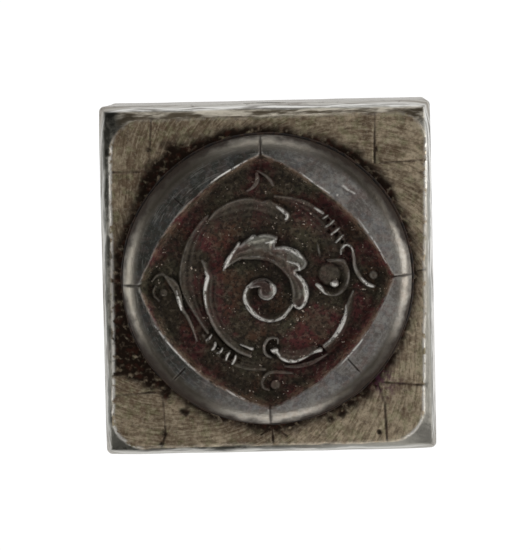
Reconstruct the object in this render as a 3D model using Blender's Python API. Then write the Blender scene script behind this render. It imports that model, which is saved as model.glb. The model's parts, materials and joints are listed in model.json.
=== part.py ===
"""Hand-struck stamping tool with an interchangeable round die.

A square steel holder block takes a turned die, which rests on a thin packing ring and is
gripped by four set screws. The block screws on the shank of a turned wooden handle, and a
steel cap takes the mallet. Metres, +Z up, origin in the middle of the striking face: the
tool stands on its cap with the working face up.
"""

import math

import bmesh
import bpy
from mathutils import Matrix, Vector

MM = 0.001
DISC_ROUND = 48                 # sides of the die and the ring under it
ROUND = 32                      # sides of the other turned pieces
SMALL_ROUND = 24                # sides of a pin or a small bore
SHARP = math.radians(32)        # edges steeper than this stay crisp
OVER = 1.0                      # how far a cutter reaches past the surface it opens

# Heights up the tool, from the striking face, in mm.
CAP_TOP = 10.4
GRIP_BOTTOM = 13.0
GRIP_TOP = 83.0
COLLAR_BOTTOM = 85.6
COLLAR_TOP = 92.7
BLOCK_BOTTOM = 94.0
BLOCK_TOP = 120.0
DIE_TOP = 123.6
GAP = 0.1                       # clearance between neighbours, axial and radial

# Holder block.
BLOCK_X = 38.5
BLOCK_Y = 40.6
FACE_INSET = 1.15               # width of the worn chamfer round the face
FACE_DROP = 1.2
FACE_CORNER = 3.5
EDGE_CORNER = 0.35
CORNER_STEPS = 5
SOCKET_RADIUS = 10.2
SOCKET_FLOOR = 107.5
KNOCKOUT_RADIUS = 3.0
SCREW_HEIGHT = 113.0

# Die.
DIE_RADIUS = 16.7
SHOULDER = 1.7                  # radius of the rounded shoulder
SHOULDER_STEPS = 6
SPIGOT_RADIUS = 10.05
SPIGOT_BOTTOM = 108.2
PACKING_THICKNESS = 0.4
PACKING_RADIUS = 17.0
RECESS_REACH = 14.6             # centre to a corner of the diamond
RECESS_SIDE_RADIUS = 22.0       # each side of the diamond is an arc
RECESS_SIDE_STEPS = 8
RECESS_DEPTH = 1.8
RECESS_SLOPE = 0.7              # how much narrower the recess is at its floor
RELIEF_HEIGHT = 1.2
RELIEF_ROOT = 0.4               # how deep the relief's prisms sink in the floor
STAGGER = 0.02                  # keeps the ends of crossing prisms out of one plane
SPIGOT_CHAMFER = 0.6

# Set screws, M5 with a hexagon socket.
SCREW_RADIUS = 2.45
SCREW_LENGTH = 8.4
SCREW_TIP = 10.25               # distance of the tip from the tool's axis
SCREW_POINT_RADIUS = 1.35
SCREW_POINT_LENGTH = 0.9
HEX_RADIUS = 1.45
HEX_DEPTH = 2.6

# Shank and its thread.
THREAD_RADIUS = 5.9
THREAD_BORE = 6.15
THREAD_TOP = 104.0
COLLAR_RADIUS = 12.5
COLLAR_FLAT = 21.0              # across the two spanner flats
COLLAR_CHAMFER = 0.5
FLAT_MARGIN = 1.2               # collar left whole above and below the flats
THREAD_CHAMFER = 0.8
THREAD_RUNOUT = 0.5             # bore left over above the thread
TANG_RADIUS = 4.5
TANG_END_RADIUS = 4.0
TANG_END_BOTTOM = 3.0
TANG_STEP = 13.5                # height where the tang narrows
LOCK_WASHER_RADIUS = 10.6
LOCK_WASHER_OPENING = math.radians(14)

# Handle.
TENON_RADIUS = 10.9
FERRULE_RADIUS = 12.2
FERRULE_BOTTOM = 71.0
HOOP_TOP = 21.0
BELLY_RADIUS = 15.0
NECK_RADIUS = 11.9
CAP_RADIUS = 14.0
CAP_CHAMFER = 1.2
CAP_ROUND = 1.5
ROLL_HEIGHT = 1.6               # rolled edge of a ferrule, and the step behind it
ROLL_STEP = 0.35
BROKEN_EDGE = 0.4
WASHER_RADIUS = 12.2
FERRULE_PIN_RADIUS = 0.9
FERRULE_PIN_HEIGHT = 77.0
CAP_PIN_RADIUS = 1.25
CAP_PIN_HEIGHT = 6.4


# ---------------------------------------------------------------- scene and materials

def clear_scene():
    for obj in list(bpy.data.objects):
        bpy.data.objects.remove(obj, do_unlink=True)


def material(name, colour, roughness, metallic):
    mat = bpy.data.materials.new(name)
    mat.use_nodes = True
    shader = mat.node_tree.nodes["Principled BSDF"]
    shader.inputs["Base Color"].default_value = (*colour, 1.0)
    shader.inputs["Roughness"].default_value = roughness
    shader.inputs["Metallic"].default_value = metallic
    return mat


def make_materials():
    return {
        "old_steel": material("old_steel", (0.22, 0.18, 0.13), 0.55, 0.9),
        "die_steel": material("die_steel", (0.16, 0.14, 0.12), 0.35, 1.0),
        "screw_steel": material("screw_steel", (0.08, 0.08, 0.085), 0.4, 1.0),
        "shank_steel": material("shank_steel", (0.30, 0.29, 0.28), 0.35, 1.0),
        "leather": material("leather", (0.18, 0.08, 0.035), 0.75, 0.0),
        "brass": material("brass", (0.55, 0.38, 0.14), 0.35, 1.0),
        "wood": material("wood", (0.28, 0.13, 0.055), 0.5, 0.0),
    }


# ---------------------------------------------------------------- modelling helpers

def object_from(name, bm, mat, origin=(0.0, 0.0, 0.0)):
    """Turns a bmesh in mm and world axes into an object in metres with its origin at origin."""
    bmesh.ops.recalc_face_normals(bm, faces=bm.faces)
    mesh = bpy.data.meshes.new(name)
    bm.to_mesh(mesh)
    bm.free()
    mesh.transform(Matrix.Translation(-Vector(origin)))
    mesh.transform(Matrix.Scale(MM, 4))
    mesh.shade_smooth()
    mesh.set_sharp_from_angle(angle=SHARP)
    obj = bpy.data.objects.new(name, mesh)
    obj.location = Vector(origin) * MM
    bpy.context.scene.collection.objects.link(obj)
    if mat is not None:
        mesh.materials.append(mat)
    return obj


def turned(name, profile, mat, sides=ROUND):
    """A closed profile of (radius, height) turned about the tool's axis."""
    bm = bmesh.new()
    add_turned(bm, profile, sides)
    return object_from(name, bm, mat)


def add_turned(bm, profile, sides=ROUND):
    rings = []
    for radius, height in profile:
        if radius == 0:
            rings.append([bm.verts.new((0, 0, height))])
            continue
        turns = [2 * math.pi * k / sides for k in range(sides)]
        rings.append([bm.verts.new((radius * math.cos(t), radius * math.sin(t), height)) for t in turns])
    for low, high in zip(rings, rings[1:] + rings[:1]):
        if len(low) == 1 and len(high) == 1:
            continue
        for k in range(sides):
            n = (k + 1) % sides
            corners = [low[k % len(low)], low[n % len(low)], high[n % len(high)], high[k % len(high)]]
            bm.faces.new(list(dict.fromkeys(corners)))


def add_stack(bm, loops):
    """Joins outlines of equal length, lowest first, into one closed solid."""
    rings = [[bm.verts.new(point) for point in loop] for loop in loops]
    count = len(rings[0])
    for low, high in zip(rings, rings[1:]):
        for k in range(count):
            n = (k + 1) % count
            bm.faces.new((low[k], low[n], high[n], high[k]))
    bm.faces.new(list(reversed(rings[0])))
    bm.faces.new(rings[-1])


def at_height(outline, height):
    return [(x, y, height) for x, y in outline]


def rounded_rectangle(width, depth, corner):
    points = []
    for quarter, (sx, sy) in enumerate(((1, 1), (-1, 1), (-1, -1), (1, -1))):
        cx = sx * (width / 2 - corner)
        cy = sy * (depth / 2 - corner)
        for step in range(CORNER_STEPS + 1):
            turn = math.pi / 2 * (quarter + step / CORNER_STEPS)
            points.append((cx + corner * math.cos(turn), cy + corner * math.sin(turn)))
    return points


def circle(radius, centre=(0.0, 0.0), sides=SMALL_ROUND):
    turns = [2 * math.pi * k / sides for k in range(sides)]
    return [(centre[0] + radius * math.cos(t), centre[1] + radius * math.sin(t)) for t in turns]


def rod(name, radius, start, end, mat=None, sides=SMALL_ROUND):
    """A round bar between two points."""
    start, end = Vector(start), Vector(end)
    bm = bmesh.new()
    add_stack(bm, [at_height(circle(radius, sides=sides), 0.0),
                   at_height(circle(radius, sides=sides), (end - start).length)])
    turn = (end - start).to_track_quat("Z", "Y").to_matrix().to_4x4()
    bm.transform(Matrix.Translation(start) @ turn)
    return object_from(name, bm, mat)


def boolean(obj, tool, operation):
    """Applies a hidden tool to an object; the tool stays as a guide."""
    tool.hide_render = True
    tool.display_type = "WIRE"
    modifier = obj.modifiers.new(tool.name, "BOOLEAN")
    modifier.operation = operation
    modifier.solver = "EXACT"
    modifier.object = tool


def cut(obj, tool):
    boolean(obj, tool, "DIFFERENCE")


def unite(obj, tool):
    boolean(obj, tool, "UNION")


# ---------------------------------------------------------------- head

def holder_block(mat):
    """Square block with vertical flanks; the chamfer's inner edge turns round the corners."""
    flank = rounded_rectangle(BLOCK_X, BLOCK_Y, EDGE_CORNER)
    face = rounded_rectangle(BLOCK_X - 2 * FACE_INSET, BLOCK_Y - 2 * FACE_INSET, FACE_CORNER)
    bm = bmesh.new()
    add_stack(bm, [at_height(flank, BLOCK_BOTTOM), at_height(flank, BLOCK_TOP - FACE_DROP),
                   at_height(face, BLOCK_TOP)])
    block = object_from("holder_block", bm, mat)
    bore = turned("cut_bores", [
        (0, BLOCK_BOTTOM - OVER), (THREAD_BORE, BLOCK_BOTTOM - OVER),
        (THREAD_BORE, THREAD_TOP + THREAD_RUNOUT), (KNOCKOUT_RADIUS, THREAD_TOP + THREAD_RUNOUT),
        (KNOCKOUT_RADIUS, SOCKET_FLOOR), (SOCKET_RADIUS, SOCKET_FLOOR),
        (SOCKET_RADIUS, BLOCK_TOP + OVER), (0, BLOCK_TOP + OVER)], None)
    cut(block, bore)
    reach = BLOCK_Y / 2 + OVER
    across = SCREW_RADIUS + GAP
    cut(block, rod("cut_screws_x", across, (-reach, 0, SCREW_HEIGHT), (reach, 0, SCREW_HEIGHT)))
    cut(block, rod("cut_screws_y", across, (0, -reach, SCREW_HEIGHT), (0, reach, SCREW_HEIGHT)))
    return block


def packing_ring(mat):
    low = BLOCK_TOP + GAP
    high = low + PACKING_THICKNESS
    inner = SPIGOT_RADIUS + 2 * GAP
    return turned("packing_ring", [(inner, low), (PACKING_RADIUS, low),
                                   (PACKING_RADIUS, high), (inner, high)], mat, DISC_ROUND)


def set_screw(name, angle, mat):
    """One M5 screw, tip inwards, with a hexagon socket in its outer end."""
    way = Vector((math.cos(angle), math.sin(angle), 0.0))
    tip = way * SCREW_TIP + Vector((0, 0, SCREW_HEIGHT))
    bm = bmesh.new()
    add_stack(bm, [at_height(circle(SCREW_POINT_RADIUS), 0.0),
                   at_height(circle(SCREW_RADIUS), SCREW_POINT_LENGTH),
                   at_height(circle(SCREW_RADIUS), SCREW_LENGTH)])
    turn = way.to_track_quat("Z", "Y").to_matrix().to_4x4()
    bm.transform(Matrix.Translation(tip) @ turn)
    screw = object_from(name, bm, mat, tip)
    end = tip + way * SCREW_LENGTH
    cut(screw, rod("cut_" + name, HEX_RADIUS, end - way * HEX_DEPTH, end + way * OVER, sides=6))
    return screw


# ---------------------------------------------------------------- die

def diamond(shrink=0.0):
    """Square on its corner with sides bowed outwards: four equal arcs from corner to corner."""
    reach = RECESS_REACH - shrink
    half_chord = reach / math.sqrt(2)
    half_turn = math.asin(half_chord / RECESS_SIDE_RADIUS)
    back = RECESS_SIDE_RADIUS * math.cos(half_turn) - half_chord
    points = []
    for side in range(4):
        middle = math.pi / 4 + side * math.pi / 2
        cx, cy = -back * math.cos(middle), -back * math.sin(middle)
        for step in range(RECESS_SIDE_STEPS):
            turn = middle + half_turn * (2 * step / RECESS_SIDE_STEPS - 1)
            points.append((cx + RECESS_SIDE_RADIUS * math.cos(turn),
                           cy + RECESS_SIDE_RADIUS * math.sin(turn)))
    return points


def curve_through(points, steps=4, closed=False):
    """Smooth Catmull-Rom curve through points of any dimension."""
    points = [Vector(p) for p in points]
    count = len(points)
    spans = count if closed else count - 1
    result = []
    for k in range(spans):
        if closed:
            a, b, c, d = (points[(k + j) % count] for j in (-1, 0, 1, 2))
        else:
            a, b, c, d = points[max(k - 1, 0)], points[k], points[k + 1], points[min(k + 2, count - 1)]
        for step in range(steps):
            t = step / steps
            result.append(0.5 * (2 * b + (c - a) * t + (2 * a - 5 * b + 4 * c - d) * t * t
                                 + (3 * b - a - 3 * c + d) * t * t * t))
    if not closed:
        result.append(points[-1])
    return result


def ribbon(points, steps=4):
    """Outline of a band whose centre line and width are given as (x, y, width)."""
    line = curve_through(points, steps)
    left, right = [], []
    for k, point in enumerate(line):
        ahead, behind = line[min(k + 1, len(line) - 1)], line[max(k - 1, 0)]
        along = Vector((ahead.x - behind.x, ahead.y - behind.y)).normalized()
        side = Vector((-along.y, along.x)) * point.z / 2
        left.append((point.x + side.x, point.y + side.y))
        right.append((point.x - side.x, point.y - side.y))
    return left + right[::-1]


def volute(centre, inner, outer, start, end, width):
    """Centre line of a spiral, angles in degrees, for ribbon()."""
    steps = max(4, round(abs(end - start) / 30))
    points = []
    for k in range(steps + 1):
        share = k / steps
        turn = math.radians(start + (end - start) * share)
        radius = inner + (outer - inner) * share
        points.append((centre[0] + radius * math.cos(turn), centre[1] + radius * math.sin(turn), width))
    return points


def relief_outlines():
    """The scroll ornament as plan outlines: bands, a leaf and round berries."""
    leaf = curve_through([(-4.9, 1.4), (-3.8, 3.5), (-1.4, 4.9), (0.9, 4.8), (1.6, 3.75), (3.6, 3.0),
                          (4.4, 1.8), (3.1, 0.7), (4.4, -0.6), (4.4, -2.4), (3.3, -3.3), (2.9, -1.4),
                          (2.1, 0.7), (0.4, 2.2), (-2.3, 2.8)], 2, closed=True)
    outlines = [[(p.x, p.y) for p in leaf]]
    eye = (-0.07, -1.2)
    outlines.append(ribbon(volute(eye, 0.9, 3.5, 60, 312, 0.7), 1))
    outlines.append(ribbon([(-2.0, -9.2, 1.6), (-5.6, -7.4, 1.8), (-8.0, -4.0, 1.7), (-8.4, 0.4, 1.5),
                            (-7.3, 4.7, 1.2), (-4.4, 8.2, 0.9), (-0.6, 9.2, 0.7), (2.6, 7.4, 0.6)], 3))
    outlines.append(ribbon([(1.6, 9.5, 0.7), (5.6, 8.0, 1.3), (8.2, 5.2, 1.5), (9.4, 2.6, 1.0)], 3))
    outlines.append(ribbon([(9.4, -1.4, 0.9), (9.1, -4.4, 1.1), (7.2, -7.6, 1.3), (3.9, -9.3, 1.1),
                            (0.9, -8.7, 0.8)], 3))
    outlines.append(ribbon([(10.2, 2.2, 0.7), (10.7, 0.1, 0.7), (12.1, -0.9, 0.6)], 3))
    outlines.append(ribbon([(-11.0, 0.5, 0.7), (-10.2, -2.2, 0.7), (-8.5, -6.2, 0.6)], 3))
    for centre, radius in (((-0.07, -1.2), 0.95), ((7.7, 0.4), 1.5), ((12.2, 0.4), 0.8),
                           ((-12.1, -1.1), 1.0), ((0.4, -7.6), 0.75), ((-0.2, -12.0), 1.1),
                           ((-0.7, 11.4), 0.8)):
        outlines.append(circle(radius, centre, 12))
    return outlines


def die_insert(mat):
    """Spigot, disc with a rounded shoulder, diamond recess and the raised ornament in it."""
    seat = BLOCK_TOP + PACKING_THICKNESS + 2 * GAP
    profile = [(0, SPIGOT_BOTTOM), (SPIGOT_RADIUS - SPIGOT_CHAMFER, SPIGOT_BOTTOM),
               (SPIGOT_RADIUS, SPIGOT_BOTTOM + SPIGOT_CHAMFER), (SPIGOT_RADIUS, seat),
               (DIE_RADIUS, seat)]
    for step in range(SHOULDER_STEPS + 1):
        turn = math.pi / 2 * step / SHOULDER_STEPS
        profile.append((DIE_RADIUS - SHOULDER + SHOULDER * math.cos(turn),
                        DIE_TOP - SHOULDER + SHOULDER * math.sin(turn)))
    profile.append((0, DIE_TOP))
    die = turned("die_insert", profile, mat, DISC_ROUND)
    floor = DIE_TOP - RECESS_DEPTH
    bm = bmesh.new()
    flare = RECESS_SLOPE * OVER / RECESS_DEPTH
    add_stack(bm, [at_height(diamond(RECESS_SLOPE), floor), at_height(diamond(-flare), DIE_TOP + OVER)])
    cut(die, object_from("cut_recess", bm, None))
    for number, outline in enumerate(relief_outlines()):
        bm = bmesh.new()
        top = floor + RELIEF_HEIGHT + STAGGER * (number % 5)
        root = floor - RELIEF_ROOT - STAGGER * (number % 7)
        add_stack(bm, [at_height(outline, root), at_height(outline, top)])
        unite(die, object_from(f"relief_{number:02d}", bm, None))
    return die


# ---------------------------------------------------------------- shank and handle

def lock_washer(mat):
    """Split washer: most of a turn of a flat band."""
    inner, outer = THREAD_BORE + GAP, LOCK_WASHER_RADIUS
    low, high = COLLAR_TOP + GAP, BLOCK_BOTTOM - GAP
    sweep = 2 * math.pi - LOCK_WASHER_OPENING
    turns = [LOCK_WASHER_OPENING / 2 + sweep * k / ROUND for k in range(ROUND + 1)]
    outline = [(outer * math.cos(t), outer * math.sin(t)) for t in turns]
    outline += [(inner * math.cos(t), inner * math.sin(t)) for t in reversed(turns)]
    bm = bmesh.new()
    add_stack(bm, [at_height(outline, low), at_height(outline, high)])
    return object_from("lock_washer", bm, mat)


def shank(mat):
    """Threaded spigot, collar with two spanner flats, tang and its reduced end."""
    body = turned("shank", [
        (0, TANG_END_BOTTOM), (TANG_END_RADIUS - COLLAR_CHAMFER, TANG_END_BOTTOM),
        (TANG_END_RADIUS, TANG_END_BOTTOM + COLLAR_CHAMFER), (TANG_END_RADIUS, TANG_STEP),
        (TANG_RADIUS, TANG_STEP), (TANG_RADIUS, COLLAR_BOTTOM),
        (COLLAR_RADIUS - COLLAR_CHAMFER, COLLAR_BOTTOM),
        (COLLAR_RADIUS, COLLAR_BOTTOM + COLLAR_CHAMFER), (COLLAR_RADIUS, COLLAR_TOP - COLLAR_CHAMFER),
        (COLLAR_RADIUS - COLLAR_CHAMFER, COLLAR_TOP), (THREAD_RADIUS, COLLAR_TOP),
        (THREAD_RADIUS, THREAD_TOP - THREAD_CHAMFER), (THREAD_RADIUS - THREAD_CHAMFER, THREAD_TOP),
        (0, THREAD_TOP)], mat)
    bm = bmesh.new()
    for side in (1, -1):
        near, far = side * COLLAR_FLAT / 2, side * (COLLAR_RADIUS + OVER)
        wide = COLLAR_RADIUS + OVER
        outline = [(-wide, near), (wide, near), (wide, far), (-wide, far)]
        add_stack(bm, [at_height(outline, COLLAR_BOTTOM + FLAT_MARGIN),
                       at_height(outline, COLLAR_TOP - FLAT_MARGIN)])
    cut(body, object_from("cut_flats", bm, None))
    cut_pin_hole(body, "shank", FERRULE_PIN_RADIUS, FERRULE_PIN_HEIGHT)
    cut_pin_hole(body, "shank", CAP_PIN_RADIUS, CAP_PIN_HEIGHT)
    return body


def cut_pin_hole(obj, owner, pin_radius, height):
    """A hole across the whole piece, along X, with clearance for its pin."""
    reach = BELLY_RADIUS + OVER
    name = f"cut_{owner}_{round(height)}"
    cut(obj, rod(name, pin_radius + GAP, (-reach, 0, height), (reach, 0, height), sides=16))


def buffer_washer(name, low, high, radius, bore, mat):
    edge = BROKEN_EDGE
    return turned(name, [(bore, low), (radius - edge, low), (radius, low + edge),
                         (radius, high - edge), (radius - edge, high), (bore, high)], mat)


def sleeve(name, low, high, outer_low, outer_high, mat):
    """Ferrule or hoop: a tube with a rolled edge, which fits a tenon."""
    bore, edge, step = TENON_RADIUS + GAP, BROKEN_EDGE, ROLL_STEP
    roll = ROLL_HEIGHT
    return turned(name, [(bore, low), (outer_low - edge, low), (outer_low, low + edge),
                         (outer_low, low + roll), (outer_low - step, low + roll + step),
                         (outer_high - step, high - roll - step), (outer_high, high - roll),
                         (outer_high, high - edge), (outer_high - edge, high), (bore, high)], mat)


def handle_grip(mat):
    """Turned grip: two tenons, a full belly behind the middle and a slim neck."""
    belly = [(0.00, 12.6), (0.08, 13.4), (0.22, 14.7), (0.36, BELLY_RADIUS), (0.52, 14.6),
             (0.68, 13.4), (0.82, 12.2), (0.91, NECK_RADIUS), (1.00, 12.4)]
    low, high = HOOP_TOP + GAP, FERRULE_BOTTOM - GAP
    outline = curve_through([(radius, low + (high - low) * share) for share, radius in belly], 2)
    bore = TANG_RADIUS + 0.15
    profile = [(bore, GRIP_BOTTOM + GAP), (TENON_RADIUS, GRIP_BOTTOM + GAP), (TENON_RADIUS, low)]
    profile += [(point.x, point.y) for point in outline]
    profile += [(TENON_RADIUS, high), (TENON_RADIUS, GRIP_TOP), (bore, GRIP_TOP)]
    grip = turned("handle_grip", profile, mat)
    cut_pin_hole(grip, "grip", FERRULE_PIN_RADIUS, FERRULE_PIN_HEIGHT)
    return grip


def striking_cap(mat):
    bore = TANG_END_RADIUS + GAP
    cap = turned("striking_cap", [
        (0, 0), (CAP_RADIUS - CAP_CHAMFER, 0), (CAP_RADIUS, CAP_CHAMFER),
        (CAP_RADIUS, CAP_TOP - CAP_ROUND), (CAP_RADIUS - CAP_ROUND / 3, CAP_TOP - CAP_ROUND / 3),
        (CAP_RADIUS - CAP_ROUND, CAP_TOP), (bore, CAP_TOP),
        (bore, TANG_END_BOTTOM - THREAD_RUNOUT), (0, TANG_END_BOTTOM - THREAD_RUNOUT)], mat)
    cut_pin_hole(cap, "cap", CAP_PIN_RADIUS, CAP_PIN_HEIGHT)
    return cap


def cross_pin(name, radius, half_length, height, mat):
    return rod(name, radius, (-half_length, 0, height), (half_length, 0, height), mat, sides=16)


def build():
    clear_scene()
    mats = make_materials()
    holder_block(mats["old_steel"])
    packing_ring(mats["leather"])
    die_insert(mats["die_steel"])
    for name, quarter in (("right", 0), ("back", 1), ("left", 2), ("front", 3)):
        set_screw("set_screw_" + name, quarter * math.pi / 2, mats["screw_steel"])
    lock_washer(mats["screw_steel"])
    shank(mats["shank_steel"])
    buffer_washer("front_buffer_washer", GRIP_TOP + GAP, COLLAR_BOTTOM - GAP, WASHER_RADIUS,
                  TANG_RADIUS + 0.2, mats["leather"])
    ferrule = sleeve("front_ferrule", FERRULE_BOTTOM, GRIP_TOP, FERRULE_RADIUS + 0.3, FERRULE_RADIUS,
                     mats["brass"])
    cut_pin_hole(ferrule, "ferrule", FERRULE_PIN_RADIUS, FERRULE_PIN_HEIGHT)
    cross_pin("ferrule_pin", FERRULE_PIN_RADIUS, FERRULE_RADIUS, FERRULE_PIN_HEIGHT, mats["brass"])
    handle_grip(mats["wood"])
    sleeve("rear_hoop", GRIP_BOTTOM + GAP, HOOP_TOP, FERRULE_RADIUS + 0.5, FERRULE_RADIUS + 0.4,
           mats["shank_steel"])
    buffer_washer("rear_buffer_washer", CAP_TOP + GAP, GRIP_BOTTOM, CAP_RADIUS - 0.8,
                  TANG_END_RADIUS + 0.2, mats["leather"])
    striking_cap(mats["shank_steel"])
    cross_pin("cap_pin", CAP_PIN_RADIUS, CAP_RADIUS - 0.2, CAP_PIN_HEIGHT, mats["screw_steel"])


build()
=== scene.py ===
"""Looks for a hand-struck stamping tool with an engraved round die. Metres, +Z up.

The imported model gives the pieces' sizes and places. Each piece below stands for one CAD node,
is drawn in millimetres in the model's frame, and rides on its node's body.
"""

import json
import math
from functools import partial, reduce

import bmesh
import bpy
import numpy as np
from mathutils import Matrix, Vector


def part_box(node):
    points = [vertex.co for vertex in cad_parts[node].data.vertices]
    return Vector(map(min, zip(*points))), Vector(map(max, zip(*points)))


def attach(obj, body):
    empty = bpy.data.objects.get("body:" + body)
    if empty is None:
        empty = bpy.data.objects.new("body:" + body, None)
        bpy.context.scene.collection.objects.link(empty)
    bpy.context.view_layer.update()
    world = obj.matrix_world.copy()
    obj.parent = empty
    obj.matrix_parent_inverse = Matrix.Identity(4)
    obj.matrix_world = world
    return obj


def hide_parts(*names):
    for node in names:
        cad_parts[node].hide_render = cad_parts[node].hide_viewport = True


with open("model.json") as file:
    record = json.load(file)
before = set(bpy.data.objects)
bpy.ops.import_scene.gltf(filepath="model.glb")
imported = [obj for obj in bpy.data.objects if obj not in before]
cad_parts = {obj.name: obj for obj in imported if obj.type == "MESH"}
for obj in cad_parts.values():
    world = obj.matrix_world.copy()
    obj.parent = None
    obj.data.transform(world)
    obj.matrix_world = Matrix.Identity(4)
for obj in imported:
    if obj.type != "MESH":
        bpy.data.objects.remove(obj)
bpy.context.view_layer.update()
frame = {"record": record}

MM = 0.001
TURN = 2 * math.pi


def extent(node):
    """Lowest and highest corner of a CAD node, in mm."""
    low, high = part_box(node)
    return low / MM, high / MM


# ---------------------------------------------------------------- sizes taken from the frame

BLOCK_LOW, BLOCK_HIGH = extent("holder_block")
DIE_LOW, DIE_HIGH = extent("die_insert")
RING_LOW, RING_HIGH = extent("packing_ring")
SHANK_LOW, SHANK_HIGH = extent("shank")
GRIP_LOW, GRIP_HIGH = extent("handle_grip")

DIE_TOP = DIE_HIGH.z
DIE_RADIUS = DIE_HIGH.x
BLOCK_TOP = BLOCK_HIGH.z
DIE_SEAT = RING_HIGH.z + 0.1
FERRULE_PIN_HEIGHT = extent("ferrule_pin")[0].z + 0.9
CAP_PIN_HEIGHT = extent("cap_pin")[0].z + 1.25

# ---------------------------------------------------------------- sizes of the visible detail, in mm

DIE_CELL = 0.095                # side of the cells the ornament is modelled in
SHOULDER_RUN = 2.0              # the disc's rounded shoulder, across and down
SHOULDER_DROP = 1.7
RECESS_DEPTH = 1.8
RECESS_REACH = 14.8             # centre to a corner of the diamond
RECESS_BOWS = (1.95, 2.3, 2.75, 2.25)   # how far each side bows out; cut by hand, they differ
RECESS_CENTRE = (-0.05, -0.15)
RECESS_TURN = math.radians(0.7)
WALL_RUN = 0.95                 # the recess wall is steep but not upright
SPIGOT_RADIUS = 10.05
MARK_DEPTH = 0.16               # the index marks on the disc

BLOCK_CELL = 0.15               # side of the cells the block's top is modelled in
PLATEAU_CENTRE = (0.08, -0.3)   # the worn face isn't quite centred on the bar
PLATEAU_HALF = (18.12, 18.95)
PLATEAU_SLANT = (0.02, 0.008)   # nor quite square to it
PLATEAU_TAPER = 0.0086          # it widens towards the back
PLATEAU_CORNER = 3.6
FACET_SLOPE = 0.55              # the fall from the worn face to the ground band
BEVEL_WIDTH = 0.55              # the bright ground band round the top of the flanks
BEVEL_SLOPE = 1.6
FLANK_CORNER = 0.6              # rounding of the four upright edges
FOOT_CHAMFER = 0.4


# ---------------------------------------------------------------- numbers on a grid

def smooth(value, low, high):
    """0 below low, 1 above high, and a smooth step between."""
    t = np.clip((value - low) / (high - low), 0, 1)
    return t * t * (3 - 2 * t)


def hashed(i, j, seed):
    """A fixed pseudo-random number in 0..1 for each pair of whole numbers."""
    mixed = np.sin(i * 127.1 + j * 311.7 + seed * 74.7) * 43758.5453
    return mixed - np.floor(mixed)


def value_noise(x, y, size, seed):
    """Smooth noise in -1..1 whose bumps are about size across."""
    px, py = x / size, y / size
    i, j = np.floor(px), np.floor(py)
    fx, fy = px - i, py - j
    fx, fy = fx * fx * (3 - 2 * fx), fy * fy * (3 - 2 * fy)
    low = hashed(i, j, seed) * (1 - fx) + hashed(i + 1, j, seed) * fx
    high = hashed(i, j + 1, seed) * (1 - fx) + hashed(i + 1, j + 1, seed) * fx
    return 2 * (low * (1 - fy) + high * fy) - 1


def rough_noise(x, y, size, seed, octaves=3):
    """Noise in about -1..1 with finer noise on top."""
    total = sum(value_noise(x, y, size / 2 ** k, seed + k) / 2 ** k for k in range(octaves))
    return total / (2 - 2 / 2 ** octaves)


def cell_distance(x, y, size, seed):
    """Distance to the nearest of a set of scattered points, in units of their spacing."""
    px, py = x / size, y / size
    i, j = np.floor(px), np.floor(py)
    best = np.full(x.shape, 9.0)
    for di in (-1, 0, 1):
        for dj in (-1, 0, 1):
            ci, cj = i + di, j + dj
            gap = np.hypot(ci + hashed(ci, cj, seed) - px, cj + hashed(ci, cj, seed + 9) - py)
            best = np.minimum(best, gap)
    return best


def blurred(field, passes):
    """A repeated 3-cell average along both axes."""
    for _ in range(passes):
        padded = np.pad(field, 1, mode="edge")
        field = (padded[:-2, 1:-1] + padded[2:, 1:-1] + 2 * padded[1:-1, 1:-1]) / 4
        padded = np.pad(field, 1, mode="edge")
        field = (padded[1:-1, :-2] + padded[1:-1, 2:] + 2 * padded[1:-1, 1:-1]) / 4
    return field


def curve_through(points, steps):
    """Catmull-Rom curve through points of any dimension."""
    points = np.array(points, float)
    last = len(points) - 1
    result = []
    for k in range(last):
        a, b, c, d = (points[min(max(j, 0), last)] for j in range(k - 1, k + 3))
        for t in np.arange(steps) / steps:
            result.append(0.5 * (2 * b + (c - a) * t + (2 * a - 5 * b + 4 * c - d) * t ** 2
                                 + (3 * b - a - 3 * c + d) * t ** 3))
    result.append(points[-1])
    return np.array(result)


def beside(x, y, start, end):
    """How far along a stretch each point lies, as a share of it in 0..1, and how far from it."""
    (ax, ay), (bx, by) = start, end
    ex, ey = bx - ax, by - ay
    share = np.clip(((x - ax) * ex + (y - ay) * ey) / (ex * ex + ey * ey), 0, 1)
    return share, np.hypot(x - ax - share * ex, y - ay - share * ey)


def distance_to_line(x, y, line):
    """Distance of each point to an open line of (x, y)."""
    nearest = np.full(x.shape, np.inf)
    for start, end in zip(line[:-1], line[1:]):
        nearest = np.minimum(nearest, beside(x, y, start, end)[1])
    return nearest


def is_inside(x, y, outline):
    """Which points are inside a closed outline."""
    inside = np.zeros(x.shape, bool)
    for (ax, ay), (bx, by) in zip(outline, np.roll(outline, -1, axis=0)):
        if ay != by:
            inside ^= ((ay > y) != (by > y)) & (x < ax + (y - ay) * (bx - ax) / (by - ay))
    return inside


def depth_in_band(x, y, line):
    """How far each point is inside a band of (x, y, width)."""
    depth = np.full(x.shape, -np.inf)
    for start, end in zip(line[:-1], line[1:]):
        share, gap = beside(x, y, start[:2], end[:2])
        depth = np.maximum(depth, (start[2] + (end[2] - start[2]) * share) / 2 - gap)
    return depth


def turned_by(x, y, angle):
    """Coordinates of the same points in a frame that stands turned by angle."""
    return x * math.cos(angle) + y * math.sin(angle), y * math.cos(angle) - x * math.sin(angle)


# ---------------------------------------------------------------- ornament of the die

LAYOUT_TURN = math.radians(0.5)     # the layout and the ornament stand turned against the bar
CUT_EDGE = 0.16                     # width of the steep side of a carved form
FLUTES = 2.6                        # hollows side by side along a leaf

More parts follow.
